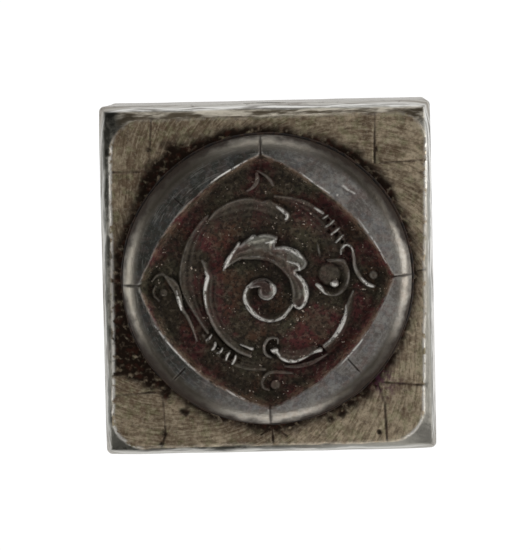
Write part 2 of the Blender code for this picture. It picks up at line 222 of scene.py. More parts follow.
# Carved leaves: crest height, height at the low side, how bright handling has rubbed it (this also sets
# how much painted highlight its edges get), crest line in arcs, low line. A leaf falls from its crest
# line to its low line; its arcs meet in notches.
LEAVES = [
    (1.55, 0.85, 1.0,
     [[(-4.95, 1.25), (-4.5, 2.4), (-3.8, 3.45), (-3.15, 4.3)],
      [(-2.95, 4.05), (-2.3, 4.6), (-1.4, 5.05)],
      [(-1.3, 4.9), (-0.4, 5.2), (0.5, 5.15), (1.25, 4.85)],
      [(1.05, 4.3), (0.95, 3.75)],
      [(1.6, 3.75), (2.6, 3.5), (3.6, 3.0), (4.35, 2.35), (4.6, 1.85), (4.35, 1.3), (3.75, 1.0)],
      [(3.3, 0.95), (3.3, 0.55)],
      [(3.85, 0.15), (4.4, -0.7), (4.6, -1.7), (4.4, -2.6), (4.05, -3.2), (3.6, -3.45),
       (3.15, -3.25)],
      [(3.0, -2.85)]],
     [(-4.0, 2.0), (-3.1, 2.5), (-2.0, 2.5), (-0.8, 2.45), (0.4, 2.2), (1.3, 1.6), (2.0, 0.9),
      (2.6, 0.1), (2.85, -0.9), (2.95, -1.9), (2.85, -2.6)]),
    (1.5, 0.2, 1.0,
     [[(3.0, -2.85), (2.5, -3.65), (1.8, -4.3)],
      [(1.7, -4.4), (0.8, -4.75), (-0.3, -4.75), (-1.3, -4.25), (-2.1, -3.4), (-2.6, -2.4),
       (-2.65, -1.6), (-2.3, -0.85), (-1.6, -0.2), (-0.8, 0.1), (0.0, 0.0), (0.55, -0.45)]],
     [(2.7, -2.6), (2.2, -3.2), (1.4, -3.8), (0.3, -4.15), (-0.8, -3.85), (-1.6, -3.1), (-1.95, -2.2),
      (-1.8, -1.5), (-1.45, -1.05), (-1.0, -0.9), (-0.5, -0.8), (0.2, -0.8)]),
    (0.8, 0.2, 0.3,
     [[(-6.4, 7.2), (-5.7, 8.0), (-4.9, 8.55), (-3.9, 9.0), (-2.5, 9.35), (-1.2, 9.3), (-0.3, 8.95)],
      [(0.4, 9.05), (1.5, 8.45), (2.2, 7.95), (2.7, 7.4), (2.5, 6.9)]],
     [(-6.4, 6.9), (-5.0, 6.9), (-3.0, 7.1), (-1.0, 7.2), (0.8, 6.5), (2.0, 6.5)]),
    (0.65, 0.15, 0.3,
     [[(-6.6, 7.6), (-7.3, 7.0), (-8.4, 5.6), (-9.2, 4.1), (-9.8, 2.2), (-10.0, 0.3), (-9.7, -1.3),
       (-8.9, -2.9), (-7.9, -4.6), (-7.0, -6.0)]],
     [(-6.4, 6.4), (-7.2, 4.8), (-7.6, 2.8), (-7.5, 0.5), (-7.5, -1.8), (-7.2, -3.8), (-6.8, -5.2)]),
    (0.95, 0.2, 0.5,
     [[(-7.4, 2.4), (-7.05, 1.4), (-6.8, 0.6)],
      [(-6.95, 0.4), (-7.2, -0.6), (-7.3, -1.5), (-7.2, -2.6), (-6.95, -3.7)],
      [(-6.8, -3.9), (-6.4, -5.0), (-5.6, -6.3), (-4.6, -7.4), (-3.4, -8.3), (-2.2, -8.8)]],
     [(-6.6, 2.0), (-6.0, 1.0), (-5.8, -0.5), (-5.9, -2.2), (-5.6, -3.8), (-4.8, -5.4), (-3.6, -6.8),
      (-2.4, -7.6), (-1.9, -8.0)]),
    (0.55, 0.25, 0.2,
     [[(-7.6, -6.2), (-7.0, -7.2), (-6.2, -8.2), (-5.2, -9.1), (-4.0, -9.8), (-2.4, -10.3),
       (-0.6, -10.4)]],
     [(-6.9, -6.0), (-6.1, -6.6), (-5.4, -7.5), (-4.2, -8.4), (-2.8, -9.1), (-1.2, -9.6)]),
    (0.6, 0.2, 0.2,
     [[(1.2, 9.6), (3.0, 9.35), (4.6, 8.9), (5.8, 8.2), (6.9, 7.3), (7.9, 6.3), (8.6, 5.2), (9.0, 4.2),
       (8.9, 3.1)]],
     [(1.4, 9.2), (3.2, 8.3), (4.6, 7.2), (5.8, 5.8), (6.5, 4.4), (6.9, 3.0), (7.4, 2.3), (8.3, 2.4)]),
    (0.95, 0.2, 0.6,
     [[(7.2, 2.0), (8.2, 2.05), (9.0, 1.8), (9.4, 0.9), (9.4, -0.2), (8.9, -1.3), (8.0, -1.95),
       (7.0, -1.9), (6.2, -1.4), (5.7, -0.75)]],
     [(7.4, 1.6), (8.1, 1.4), (8.6, 0.8), (8.7, 0.0), (8.3, -0.9), (7.5, -1.4), (6.8, -1.25),
      (6.1, -0.8)]),
    (1.0, 0.15, 0.8,
     [[(9.9, -1.6), (9.25, -3.0), (9.0, -4.2), (8.5, -5.6), (7.8, -6.7), (7.0, -7.5), (6.3, -7.95)]],
     [(10.1, -1.8), (10.0, -3.2), (9.7, -4.9), (9.0, -6.6), (7.9, -8.0), (6.7, -8.8)]),
    (1.1, 0.45, 0.6,
     [[(0.9, -8.6), (1.3, -9.1), (2.0, -9.5), (2.9, -9.6), (3.8, -9.3), (4.7, -8.8), (5.3, -8.45),
       (6.0, -8.4)]],
     [(1.2, -8.3), (1.9, -8.15), (3.2, -8.4), (4.4, -8.1), (5.3, -7.85)]),
]

# Stems, curls, folds and the ribs of the combs: crest height, rubbed (wear, and how much painted
# highlight the edges get), (x, y, width) along each.
STEMS = [
    (0.7, 0.3, [(-11.7, 0.7, 0.4), (-11.0, 0.0, 0.9), (-10.5, -0.8, 0.9), (-10.2, -2.0, 0.7),
                (-9.9, -3.1, 0.5), (-9.3, -4.1, 0.45), (-8.8, -5.3, 0.4), (-8.3, -6.8, 0.25)]),
    (0.95, 0.9, [(-10.5, -1.0, 0.2), (-10.3, -2.0, 0.32), (-10.0, -3.2, 0.28)]),
    (0.8, 0.5, [(-9.2, -4.3, 0.2), (-8.8, -5.4, 0.25), (-8.4, -6.8, 0.2)]),
    (0.5, 0.15, [(-13.3, 0.2, 0.25), (-12.8, 0.8, 0.35), (-12.1, 1.0, 0.4), (-11.6, 0.6, 0.45)]),
    (0.5, 0.2, [(-12.9, -0.3, 0.2), (-13.2, -0.9, 0.35), (-13.1, -1.5, 0.35), (-12.6, -2.1, 0.3)]),
    (0.55, 0.2, [(-2.0, 10.3, 0.3), (-1.2, 10.8, 0.5), (-0.8, 11.5, 0.6), (-0.8, 12.3, 0.4)]),
    (0.55, 0.2, [(-0.7, 12.6, 0.3), (0.1, 12.1, 0.4), (0.7, 11.5, 0.5), (1.0, 10.9, 0.4)]),
    (1.1, 1.0, [(1.4, 8.45, 0.25), (2.2, 7.85, 0.38), (2.6, 7.4, 0.38), (2.45, 6.95, 0.35)]),
    (0.6, 0.6, [(-9.2, 4.2, 0.15), (-8.7, 5.2, 0.25), (-7.9, 6.3, 0.25), (-7.0, 7.2, 0.2)]),
    (1.1, 0.9, [(8.6, 2.7, 0.22), (8.75, 3.4, 0.3), (9.3, 3.8, 0.3), (9.8, 3.5, 0.3),
                (10.0, 3.0, 0.3)]),
    (0.95, 0.55, [(10.0, 3.1, 0.4), (10.1, 2.2, 0.45), (10.15, 1.3, 0.5), (10.5, 0.4, 0.5),
                  (11.1, -0.5, 0.45), (11.9, -1.05, 0.45), (12.4, -1.15, 0.3)]),
    (0.8, 0.6, [(7.0, 2.05, 0.2), (8.0, 2.1, 0.3), (9.0, 1.95, 0.3), (9.2, 1.4, 0.25)]),
    (1.1, 1.0, [(5.7, -0.7, 0.35), (6.1, -1.0, 0.42), (6.45, -1.6, 0.3), (6.9, -1.9, 0.2)]),
    (0.8, 0.6, [(5.95, 4.0, 0.12), (6.05, 3.2, 0.3), (6.2, 2.5, 0.15)]),
    (0.85, 0.5, [(1.0, -7.4, 0.25), (1.0, -6.9, 0.3), (0.4, -6.75, 0.35), (-0.2, -7.0, 0.4),
                 (-0.6, -7.8, 0.4), (-0.4, -8.6, 0.4), (0.2, -9.0, 0.35)]),
    (1.15, 1.0, [(0.3, -8.2, 0.35), (0.8, -8.3, 0.4), (1.2, -8.8, 0.25)]),
    (0.55, 0.15, [(2.6, -10.9, 0.3), (1.6, -10.8, 0.5), (0.5, -10.7, 0.5), (-0.4, -11.0, 0.45),
                  (-0.95, -11.8, 0.4), (-0.8, -12.5, 0.4), (-0.2, -12.8, 0.3)]),
    (0.5, 0.25, [(6.7, -8.8, 0.3), (5.0, -9.7, 0.6), (3.2, -10.1, 0.6), (1.8, -10.1, 0.3)]),
    (1.15, 1.0, [(5.0, -8.6, 0.25), (5.6, -8.35, 0.38), (6.0, -8.2, 0.3)]),
    (1.0, 0.9, [(6.3, -7.8, 0.15), (7.1, -7.2, 0.3), (7.9, -6.5, 0.32), (8.4, -5.6, 0.3),
                (8.8, -4.6, 0.2)]),
    (1.2, 1.0, [(5.75, 8.15, 0.25), (6.2, 7.85, 0.42), (6.7, 7.5, 0.3)]),
    (1.05, 0.8, [(6.7, 6.9, 0.25), (7.2, 7.2, 0.25)]),
    (1.15, 1.0, [(7.0, 5.95, 0.26), (7.45, 6.2, 0.3), (7.9, 6.6, 0.26)]),
    (1.15, 1.0, [(7.6, 5.05, 0.28), (8.1, 5.4, 0.32), (8.5, 5.75, 0.26)]),
    (1.15, 1.0, [(8.1, 4.1, 0.26), (8.5, 4.5, 0.3), (8.9, 4.9, 0.26)]),
    (1.1, 0.8, [(-7.2, -6.8, 0.25), (-6.9, -6.6, 0.3), (-6.6, -6.2, 0.25)]),
    (1.15, 1.0, [(-6.6, -7.9, 0.3), (-6.3, -7.6, 0.4), (-6.2, -7.1, 0.3)]),
    (1.15, 0.9, [(-6.0, -8.3, 0.25), (-5.6, -8.15, 0.35), (-5.4, -7.8, 0.25)]),
    (1.15, 1.0, [(-5.0, -9.1, 0.3), (-4.85, -8.6, 0.4), (-4.6, -8.3, 0.3)]),
    (1.15, 1.0, [(-4.3, -9.6, 0.3), (-4.0, -9.1, 0.38), (-3.9, -8.7, 0.3)]),
    (1.05, 0.9, [(-3.3, -7.4, 0.2), (-2.5, -7.75, 0.3), (-1.95, -7.95, 0.42)]),
    (1.42, 0.9, [(-1.95, -0.75, 0.5), (-1.3, -0.5, 0.8), (-0.5, -0.45, 0.9), (0.1, -0.8, 1.0)]),
    (1.6, 1.0, [(2.4, 2.1, 0.2), (3.1, 1.95, 0.3), (3.65, 1.6, 0.3), (3.9, 1.15, 0.25)]),
    (1.3, 0.7, [(-2.2, 2.7, 0.2), (-1.2, 2.75, 0.3), (0.0, 2.55, 0.3), (0.9, 2.2, 0.2)]),
    (1.65, 1.0, [(0.0, 4.25, 0.15), (0.7, 4.45, 0.25), (1.15, 4.3, 0.25)]),
]

# Pits punched between the ribs of the combs: centre, radius.
PITS = [((7.25, 6.65), 0.3), ((7.35, 5.4), 0.4), ((8.2, 5.0), 0.36), ((7.9, 5.95), 0.3),
        ((8.8, 4.1), 0.3), ((-6.9, -7.4), 0.4), ((-6.0, -7.7), 0.32), ((-5.4, -8.7), 0.42),
        ((-4.4, -8.9), 0.3), ((-3.6, -9.3), 0.36), ((-4.8, -9.6), 0.3), ((9.3, 3.2), 0.36)]

# Berries and the eyes of the curls: crest height, rubbed (wear, and how much painted highlight the edges
# get), centre, radius.
BERRIES = [
    (1.42, 0.9, (-0.1, -1.25), 1.05),
    (0.65, 0.25, (7.2, 0.45), 1.35),
    (1.2, 1.0, (7.8, -0.65), 0.5),
    (0.7, 0.3, (12.3, 0.2), 0.55),
    (0.6, 0.2, (-12.0, -1.15), 0.5),
    (1.15, 0.8, (0.65, -8.25), 0.42),
    (0.6, 0.2, (0.6, -12.2), 0.6),
]

# Where handling has rubbed the crests bright, and where crests and the recess rim catch the light:
# strokes painted near white, as rubbed steel and as painted highlight; (x, y, width) along each stroke.
RUBS_AND_GLINTS = [
    [(-4.95, 1.3, 0.2), (-4.6, 2.1, 0.45), (-4.1, 2.9, 0.4), (-3.6, 3.6, 0.25), (-3.1, 4.3, 0.3)],
    [(-1.9, 4.85, 0.1), (-1.5, 5.0, 0.35), (-1.1, 5.05, 0.1)],
    [(0.0, 4.3, 0.15), (0.8, 4.4, 0.35), (1.15, 4.7, 0.3)],
    [(1.0, 3.6, 0.15), (1.9, 3.65, 0.28), (2.7, 3.45, 0.35), (3.4, 3.1, 0.45), (3.9, 2.65, 0.35),
     (4.4, 2.1, 0.15)],
    [(2.7, 2.0, 0.15), (3.4, 1.85, 0.38), (3.75, 1.5, 0.28), (3.8, 1.05, 0.35)],
    [(3.35, 0.5, 0.25), (3.9, 0.05, 0.35), (4.4, -0.8, 0.42), (4.55, -1.7, 0.42), (4.35, -2.6, 0.35),
     (4.0, -3.15, 0.35), (3.5, -3.4, 0.3), (3.1, -3.0, 0.25)],
    [(2.9, -3.0, 0.35), (2.2, -3.8, 0.3), (1.75, -4.35, 0.42), (0.8, -4.72, 0.3), (-0.3, -4.7, 0.35),
     (-1.3, -4.2, 0.45), (-2.1, -3.35, 0.5), (-2.6, -2.4, 0.45), (-2.6, -1.6, 0.38), (-2.3, -0.85, 0.3),
     (-1.7, -0.25, 0.15)],
    [(0.3, -0.35, 0.15), (0.75, -0.8, 0.35), (0.85, -1.4, 0.35), (0.6, -1.95, 0.28), (0.0, -2.28, 0.25),
     (-0.6, -2.15, 0.2), (-1.0, -1.7, 0.1)],
    [(-7.1, 1.2, 0.15), (-6.9, 0.5, 0.5), (-7.1, -0.4, 0.4), (-7.25, -1.5, 0.3), (-7.1, -3.0, 0.15)],
    [(9.0, -3.2, 0.12), (8.95, -4.2, 0.3), (8.55, -5.3, 0.5), (7.9, -6.4, 0.45), (7.2, -7.1, 0.25)],
    [(1.2, -9.0, 0.15), (1.8, -9.35, 0.35), (2.8, -9.5, 0.32), (3.8, -9.25, 0.2), (4.7, -8.8, 0.12)],
    [(5.1, -8.6, 0.3), (5.9, -8.3, 0.5)],
    [(0.3, -8.2, 0.35), (0.85, -8.2, 0.42)],
    [(1.5, 8.35, 0.25), (2.2, 7.8, 0.4), (2.55, 7.3, 0.4), (2.4, 6.95, 0.3)],
    [(-10.45, -1.2, 0.12), (-10.3, -2.0, 0.4), (-10.0, -3.1, 0.35)],
    [(5.7, -0.7, 0.35), (6.15, -1.1, 0.4), (6.5, -1.65, 0.2)],
    [(7.5, -0.7, 0.5), (8.0, -0.8, 0.4)],
    [(10.9, -0.1, 0.15), (11.5, -0.8, 0.4), (12.2, -1.1, 0.3)],
    [(8.75, 3.3, 0.2), (9.2, 3.8, 0.32), (9.8, 3.5, 0.2)],
    [(-6.6, 11.1, 0.08), (-5.0, 12.15, 0.2), (-3.6, 12.95, 0.2), (-1.8, 13.9, 0.1)],
    [(4.2, 12.3, 0.1), (5.9, 10.98, 0.2), (7.5, 9.82, 0.14)],
    [(10.7, 6.8, 0.1), (11.8, 5.2, 0.16), (12.8, 3.6, 0.16), (13.8, 1.6, 0.1)],
    [(11.5, -6.2, 0.1), (10.5, -7.5, 0.2), (9.6, -8.5, 0.2), (8.2, -10.0, 0.12)],
    [(-13.1, -4.8, 0.1), (-11.6, -6.9, 0.18), (-9.6, -9.2, 0.18), (-8.4, -10.3, 0.1)],
    [(-5.1, -12.5, 0.1), (-4.2, -13.1, 0.18), (-3.0, -13.7, 0.1)],
]


def nearby(x, y, points, margin):
    """Indices of the grid points in the box round some points; the rest needs no work."""
    low, high = np.min(points, 0)[:2] - margin, np.max(points, 0)[:2] + margin
    return np.nonzero((x > low[0]) & (x < high[0]) & (y > low[1]) & (y < high[1]))


def leaf_height(x, y, top, low, edge, crest_line, low_line):
    """A leaf's surface between its two lines, with a side of width edge just outside the crest."""
    inside = is_inside(x, y, np.concatenate([crest_line, low_line[::-1]]))
    from_crest = distance_to_line(x, y, crest_line)
    from_low = distance_to_line(x, y, low_line)
    share = from_crest / (from_crest + from_low + 1e-6)
    flutes = 0.09 * np.sin(share * FLUTES * TURN)
    flutes = flutes * smooth(from_crest + from_low, 0.5, 1.4) * smooth(share, 0.05, 0.2)
    surface = low + (top - low) * (1 - share) ** 1.4 + flutes
    side = top * smooth(1 - from_crest / edge, 0, 1)
    foot = surface * smooth(1 - from_low / edge, 0, 1)
    return np.where(inside, surface, np.maximum(side, foot))


def ornament(x, y):
    """Height of the carved scrolls above the ground of the recess, and how rubbed they are."""
    height, rubbed = np.zeros(x.shape), np.zeros(x.shape)

    def lay(near, form, top, wear):
        rubbed[near] = np.where(form > height[near], wear * (form / top) ** 2, rubbed[near])
        height[near] = np.maximum(height[near], form)

    for top, low, wear, arcs, low_points in LEAVES:
        crest_line = np.concatenate([curve_through(arc, 4) for arc in arcs])
        low_line = curve_through(low_points, 4)
        near = nearby(x, y, np.concatenate([crest_line, low_line]), 0.5)
        edge = CUT_EDGE * (2.6 - 1.6 * wear)
        lay(near, leaf_height(x[near], y[near], top, low, edge, crest_line, low_line), top, wear)
    for top, wear, points in STEMS:
        line = curve_through(points, 5)
        near = nearby(x, y, line, 1.0)
        depth = depth_in_band(x[near], y[near], line)
        side = np.clip(1 - (1 - np.clip(depth / CUT_EDGE, 0, 1)) ** 2, 0, 1)
        lay(near, top * np.sqrt(side), top, wear)
    for top, wear, centre, radius in BERRIES:
        near = nearby(x, y, [centre], radius)
        share = np.clip(np.hypot(x[near] - centre[0], y[near] - centre[1]) / radius, 0, 1)
        lay(near, top * np.sqrt(1 - share ** 4), top, wear)
    for centre, radius in PITS:
        near = nearby(x, y, [centre], radius)
        share = np.hypot(x[near] - centre[0], y[near] - centre[1]) / radius
        pitted = height[near] * smooth(share, 0.3, 1.0)
        height[near] = np.where(rubbed[near] < 0.5, pitted, height[near])
    return height, rubbed


# ---------------------------------------------------------------- face of the die

# Index marks on the disc: two ends, width.
INDEX_MARKS = [
    ((-0.3, 13.9), (-0.25, 17.2), 0.30),
    ((-0.1, -14.6), (-0.05, -17.2), 0.32),
    ((14.3, 0.0), (17.2, 0.2), 0.26),
    ((-14.4, -0.2), (-17.2, -0.15), 0.24),
    ((9.1, -9.4), (10.4, -10.9), 0.22),
    ((-9.75, -9.9), (-11.0, -11.1), 0.24),
    ((-9.4, 8.9), (-10.4, 9.8), 0.16),
]
# A nick in the annulus: its raised burr, painted near white as rubbed steel and painted highlight, and
# the dirt beside it.
BURRS = [((9.1, 10.6), (9.6, 10.2), 0.36), ((9.6, 10.2), (10.4, 9.7), 0.16),
         ((8.4, 9.6), (8.7, 9.4), 0.3)]
NICKS = [((8.1, 10.75), (9.1, 10.35), 0.50), ((9.2, 10.2), (10.0, 9.7), 0.35)]


def grooves(x, y, marks, gain=1.0):
    """1 on the centre lines of scribed grooves (start, end, width), falling to 0 at their edges."""
    total = 0
    for start, end, width in marks:
        gap = beside(x, y, start, end)[1]
        total = total + np.clip(1 - gap / (width / 2 + 0.05), 0, 1)
    return np.clip(gain * total, 0, 1)


def depth_in_recess(x, y):
    """How far each point is inside the curved-sided diamond."""
    x, y = turned_by(x - RECESS_CENTRE[0], y - RECESS_CENTRE[1], RECESS_TURN)
    half_chord = RECESS_REACH / math.sqrt(2)
    depth = np.full(x.shape, np.inf)
    for side, bow in enumerate(RECESS_BOWS):
        radius = (half_chord ** 2 + bow ** 2) / (2 * bow)
        back = radius - bow - half_chord
        middle = math.pi / 4 + side * math.pi / 2
        cx, cy = -back * math.cos(middle), -back * math.sin(middle)
        depth = np.minimum(depth, radius - np.hypot(x - cx, y - cy))
    return depth


def rub_and_glint_strokes(x, y):
    """1 where a crest is rubbed bright or painted with a highlight: along the strokes, and on the thin
    stems that stand proud.
    """
    thin = [points for _, wear, points in STEMS if wear >= 0.8 and np.max(points, 0)[2] < 0.5]
    strokes = RUBS_AND_GLINTS + [[(px, py, 0.7 * width) for px, py, width in points] for points in thin]
    rubs = np.zeros(x.shape)
    for points in strokes:
        line = curve_through(points, 5)
        near = nearby(x, y, line, 0.6)
        depth = depth_in_band(x[near], y[near], line)
        rubs[near] = np.maximum(rubs[near], smooth(depth, -0.05, 0.09))
    return rubs


def die_height(x, y):
    """Height of the die's face from its top plane, with the masks that the material reads."""
    x, y = turned_by(x, y, LAYOUT_TURN)
    wobble = 0.10 * rough_noise(x, y, 2.6, 3) + 0.05 * rough_noise(x, y, 0.7, 5)
    inward = depth_in_recess(x, y) + wobble
    wall = np.sin(np.clip(inward / WALL_RUN, 0, 1) * math.pi / 2) ** 1.3
    stipple = 1 - cell_distance(x, y, 0.46, 11)
    soiled = smooth(inward, -0.02, 0.14)
    ground = 0.13 * np.clip(stipple, 0, 1) + 0.06 * rough_noise(x, y, 1.7, 21)
    ground = ground + 0.07 * rough_noise(x, y, 0.35, 25)
    carved, rubbed = ornament(x, y)
    on_relief = smooth(carved, 0.05, 0.35)
    wear = 0.04 * rough_noise(x, y, 0.9, 31) + 0.03 * rough_noise(x, y, 0.35, 33)
    carved = np.clip(carved + wear * on_relief, 0, None)
    floor = carved + ground * (1 - on_relief * (0.25 + 0.75 * rubbed))
    inside = -RECESS_DEPTH * wall + np.where(inward > 0, carved * wall + (floor - carved) * soiled, 0)
    marks = grooves(x, y, INDEX_MARKS, 1.6) * (1 - wall)
    height = inside + 0.012 * rough_noise(x, y, 3.5, 41) * (1 - wall) - MARK_DEPTH * marks
    burrs = grooves(x, y, BURRS) * (1 - wall)
    nicks = grooves(x, y, NICKS) * (1 - wall)
    height = height + 0.05 * burrs - 0.05 * nicks
    fine, broad, wide = (height - blurred(height, passes) for passes in (8, 60, 260))
    # exposed: where edges are painted near white below, partly rubbed steel and partly painted highlight
    exposed = on_relief * rubbed * wall + 0.7 * (1 - wall) * (1 - marks)
    # Painted shade: hollow and cavity darken the ground beside the carving, as shade would.
    hollow = np.maximum(smooth(-broad, 0.08, 0.4), smooth(-wide, 0.1, 0.6))
    # rise paints light and shade on the carving: lighter up its slopes and on its ridges, darker low down
    # and in its creases.
    rise = smooth(carved, 0.1, 1.0) + 2.5 * np.clip(fine, -0.2, 0.2)
    masks = {
        "ground": soiled * (1 - on_relief * wall),
        "clean": smooth(carved, 0.3, 1.15) * rubbed * wall,
        "recess": soiled,
        "wall": wall,
        "edge": smooth(fine, 0.03, 0.18) * exposed,
        # rub: rubbed steel and painted highlight along the strokes and burrs
        "rub": np.maximum(rub_and_glint_strokes(x, y), burrs),
        "rise": np.clip(rise, 0, 1) * wall,
        "cavity": smooth(inward, 0.4, 1.8) * hollow,
        "mark": np.maximum(marks, 0.6 * nicks),
    }
    return height, masks


def corners_of_cells(number):
    """The four point numbers of every cell of a grid."""
    return np.stack([number[:-1, :-1], number[1:, :-1], number[1:, 1:], number[:-1, 1:]], 2)


class Shell:
    """A mesh that starts as a carved top and grows down its sides, one ring of points at a time."""

    def __init__(self, points, faces, masks):
        self.points, self.faces = [points], [faces]
        self.masks = {name: [mask] for name, mask in masks.items()}
        self.count = len(points)

    def grow(self, ring, points, **masks):
        """Joins new points to the ring and returns their numbers; other masks are 0 there."""
        fresh = self.count + np.arange(len(points))
        self.count += len(points)
        self.points.append(points)
        self.faces.append(np.stack([ring, fresh, np.roll(fresh, -1), np.roll(ring, -1)], 1))
        for name, parts in self.masks.items():
            parts.append(masks.get(name, np.zeros(len(points))))
        return fresh

    def closed(self, ring):
        """Points, faces and masks, with the last ring filled."""
        faces = [face for block in self.faces for face in block.tolist()] + [ring[::-1].tolist()]
        masks = {name: np.concatenate(parts) for name, parts in self.masks.items()}
        return np.concatenate(self.points), faces, masks


def disc_cells(radius, cell):
    """Square cells that fill a circle, their outermost corners moved on to it."""
    count = math.ceil(radius / cell)
    axis = np.arange(-count, count + 1) * cell
    x, y = np.meshgrid(axis, axis, indexing="ij")
    inside = x ** 2 + y ** 2 <= radius ** 2
    cells = inside[:-1, :-1] & inside[1:, :-1] & inside[1:, 1:] & inside[:-1, 1:]
    around = np.zeros(x.shape, int)
    for di in (0, 1):
        for dj in (0, 1):
            around[di:di + cells.shape[0], dj:dj + cells.shape[1]] += cells
    rim = (around > 0) & (around < 4)
    stretch = np.where(rim, radius / np.maximum(np.hypot(x, y), cell), 1)
    return x * stretch, y * stretch, around > 0, cells, rim


def die_mesh():
    """The whole die: carved face, annulus, rounded shoulder, foot and spigot."""
    flat_radius = DIE_RADIUS - SHOULDER_RUN
    x, y, used, cells, rim = disc_cells(flat_radius, DIE_CELL)
    height, masks = die_height(x, y)
    number = np.full(x.shape, -1)
    number[used] = np.arange(used.sum())
    points = np.stack([x[used], y[used], DIE_TOP + height[used]], 1)
    faces = corners_of_cells(number)[cells]
    shell = Shell(points, faces, {name: mask[used] for name, mask in masks.items()})
    angles = np.arctan2(y[rim], x[rim])
    order = np.argsort(angles)
    angles, ring = angles[order], number[rim][order]
    for radius, level in die_side_profile(flat_radius):
        px, py = radius * np.cos(angles), radius * np.sin(angles)
        marks = grooves(*turned_by(px, py, LAYOUT_TURN), INDEX_MARKS)
        marks = marks * (level > DIE_TOP - SHOULDER_DROP)
        ring = shell.grow(ring, np.stack([px, py, level - MARK_DEPTH * marks], 1), mark=marks)
    return shell.closed(ring)


def die_side_profile(flat_radius):
    """(radius, height) from the annulus, over the shoulder and down to the spigot's end."""
    for step in range(1, 13):
        turn = math.pi / 2 * step / 12
        yield (flat_radius + SHOULDER_RUN * math.sin(turn),
               DIE_TOP - SHOULDER_DROP * (1 - math.cos(turn)))
    yield DIE_RADIUS, DIE_SEAT + 0.25
    yield DIE_RADIUS - 0.2, DIE_SEAT
    yield SPIGOT_RADIUS + 0.5, DIE_SEAT
    yield SPIGOT_RADIUS, DIE_SEAT - 0.3
    yield SPIGOT_RADIUS, DIE_LOW.z + 0.6
    yield SPIGOT_RADIUS - 0.6, DIE_LOW.z


# ---------------------------------------------------------------- face of the holder block

# Layout lines in the four corners, scribed and full of dirt: two ends, width.
SCRIBED_LINES = [
    ((-17.9, 12.85), (-12.9, 12.75), 0.36),
    ((-13.3, 14.0), (-12.9, 18.9), 0.24),
    ((12.8, 13.0), (13.0, 18.9), 0.34),
    ((13.4, 13.0), (18.3, 13.2), 0.24),
    ((-18.0, -13.1), (-12.9, -12.8), 0.32),
    ((-12.6, -13.0), (-12.4, -17.8), 0.26),
    ((-12.4, -17.8), (-12.9, -19.2), 0.40),
    ((13.0, -12.45), (17.9, -12.95), 0.36),
    ((12.5, -12.8), (13.2, -15.0), 0.40),
    ((13.2, -15.0), (13.3, -19.1), 0.44),
]
# Patches of hardened grime: centre, radius.
GRIME_PATCHES = [
    ((-12.4, -17.8), 0.6), ((-12.9, -19.0), 0.5), ((-12.2, -12.9), 1.0), ((-10.0, -15.1), 0.8),
    ((12.4, -12.7), 0.9), ((8.2, -15.8), 1.1), ((6.8, -16.4), 0.9), ((12.9, 11.6), 1.0),
    ((-12.6, 13.2), 1.0), ((-13.4, 15.4), 0.6), ((7.4, 15.7), 0.8), ((13.0, 14.6), 0.5),
]
# Marks struck across the joint between disc and block: two ends, width.
WITNESS_MARKS = [
    ((-0.05, -17.0), (0.1, -19.0), 0.44),
    ((0.1, -17.2), (1.7, -18.4), 0.36),
    ((-0.1, -17.3), (-1.3, -18.2), 0.30),
    ((-0.25, 17.0), (-0.3, 17.7), 0.34),
    ((17.0, 0.3), (18.2, 0.5), 0.30),
    ((-17.1, -0.1), (-17.9, -0.05), 0.26),
]
# Dimples: centre, radius.
PUNCH_DOT = ((12.45, -18.25), 0.42)
CHIPS = [((-17.9, 15.2), 0.5), ((-16.8, 12.2), 0.16), ((8.9, 15.95), 0.2), ((-2.1, 18.1), 0.14),
         ((9.8, 15.2), 0.18), ((10.5, 14.9), 0.14), ((-15.1, -10.2), 0.16), ((-11.5, -15.0), 0.15),
         ((15.2, -11.2), 0.14), ((13.8, 9.6), 0.3), ((14.4, 8.9), 0.22)]


def depth_in_plateau(x, y):
    """How far each point is inside the worn face, whose corners are rounded."""
    px = np.abs(x - PLATEAU_CENTRE[0] - PLATEAU_SLANT[0] * y) - PLATEAU_TAPER * y
    py = np.abs(y - PLATEAU_CENTRE[1] - PLATEAU_SLANT[1] * x)
    qx = px - (PLATEAU_HALF[0] - PLATEAU_CORNER)
    qy = py - (PLATEAU_HALF[1] - PLATEAU_CORNER)
    outside = np.hypot(np.maximum(qx, 0), np.maximum(qy, 0))
    return PLATEAU_CORNER - outside - np.minimum(np.maximum(qx, qy), 0)


# Where grime has spread further from the disc's foot: how much, direction and spread in degrees.
HALO_WIDTH = 0.7
HALO_LOBES = [(2.4, 208, 13), (0.8, 185, 22), (1.4, 131, 15), (0.4, 105, 16), (0.7, 45, 16),
              (0.5, 271, 10), (0.4, 303, 10)]


def halo_width(angle):
    """How far grime spreads from the disc's foot in each direction."""
    width = HALO_WIDTH
    for extra, centre, spread in HALO_LOBES:
        apart = np.angle(np.exp(1j * (angle - math.radians(centre))))
        width = width + extra * np.exp(-(apart / math.radians(spread)) ** 2)
    return width


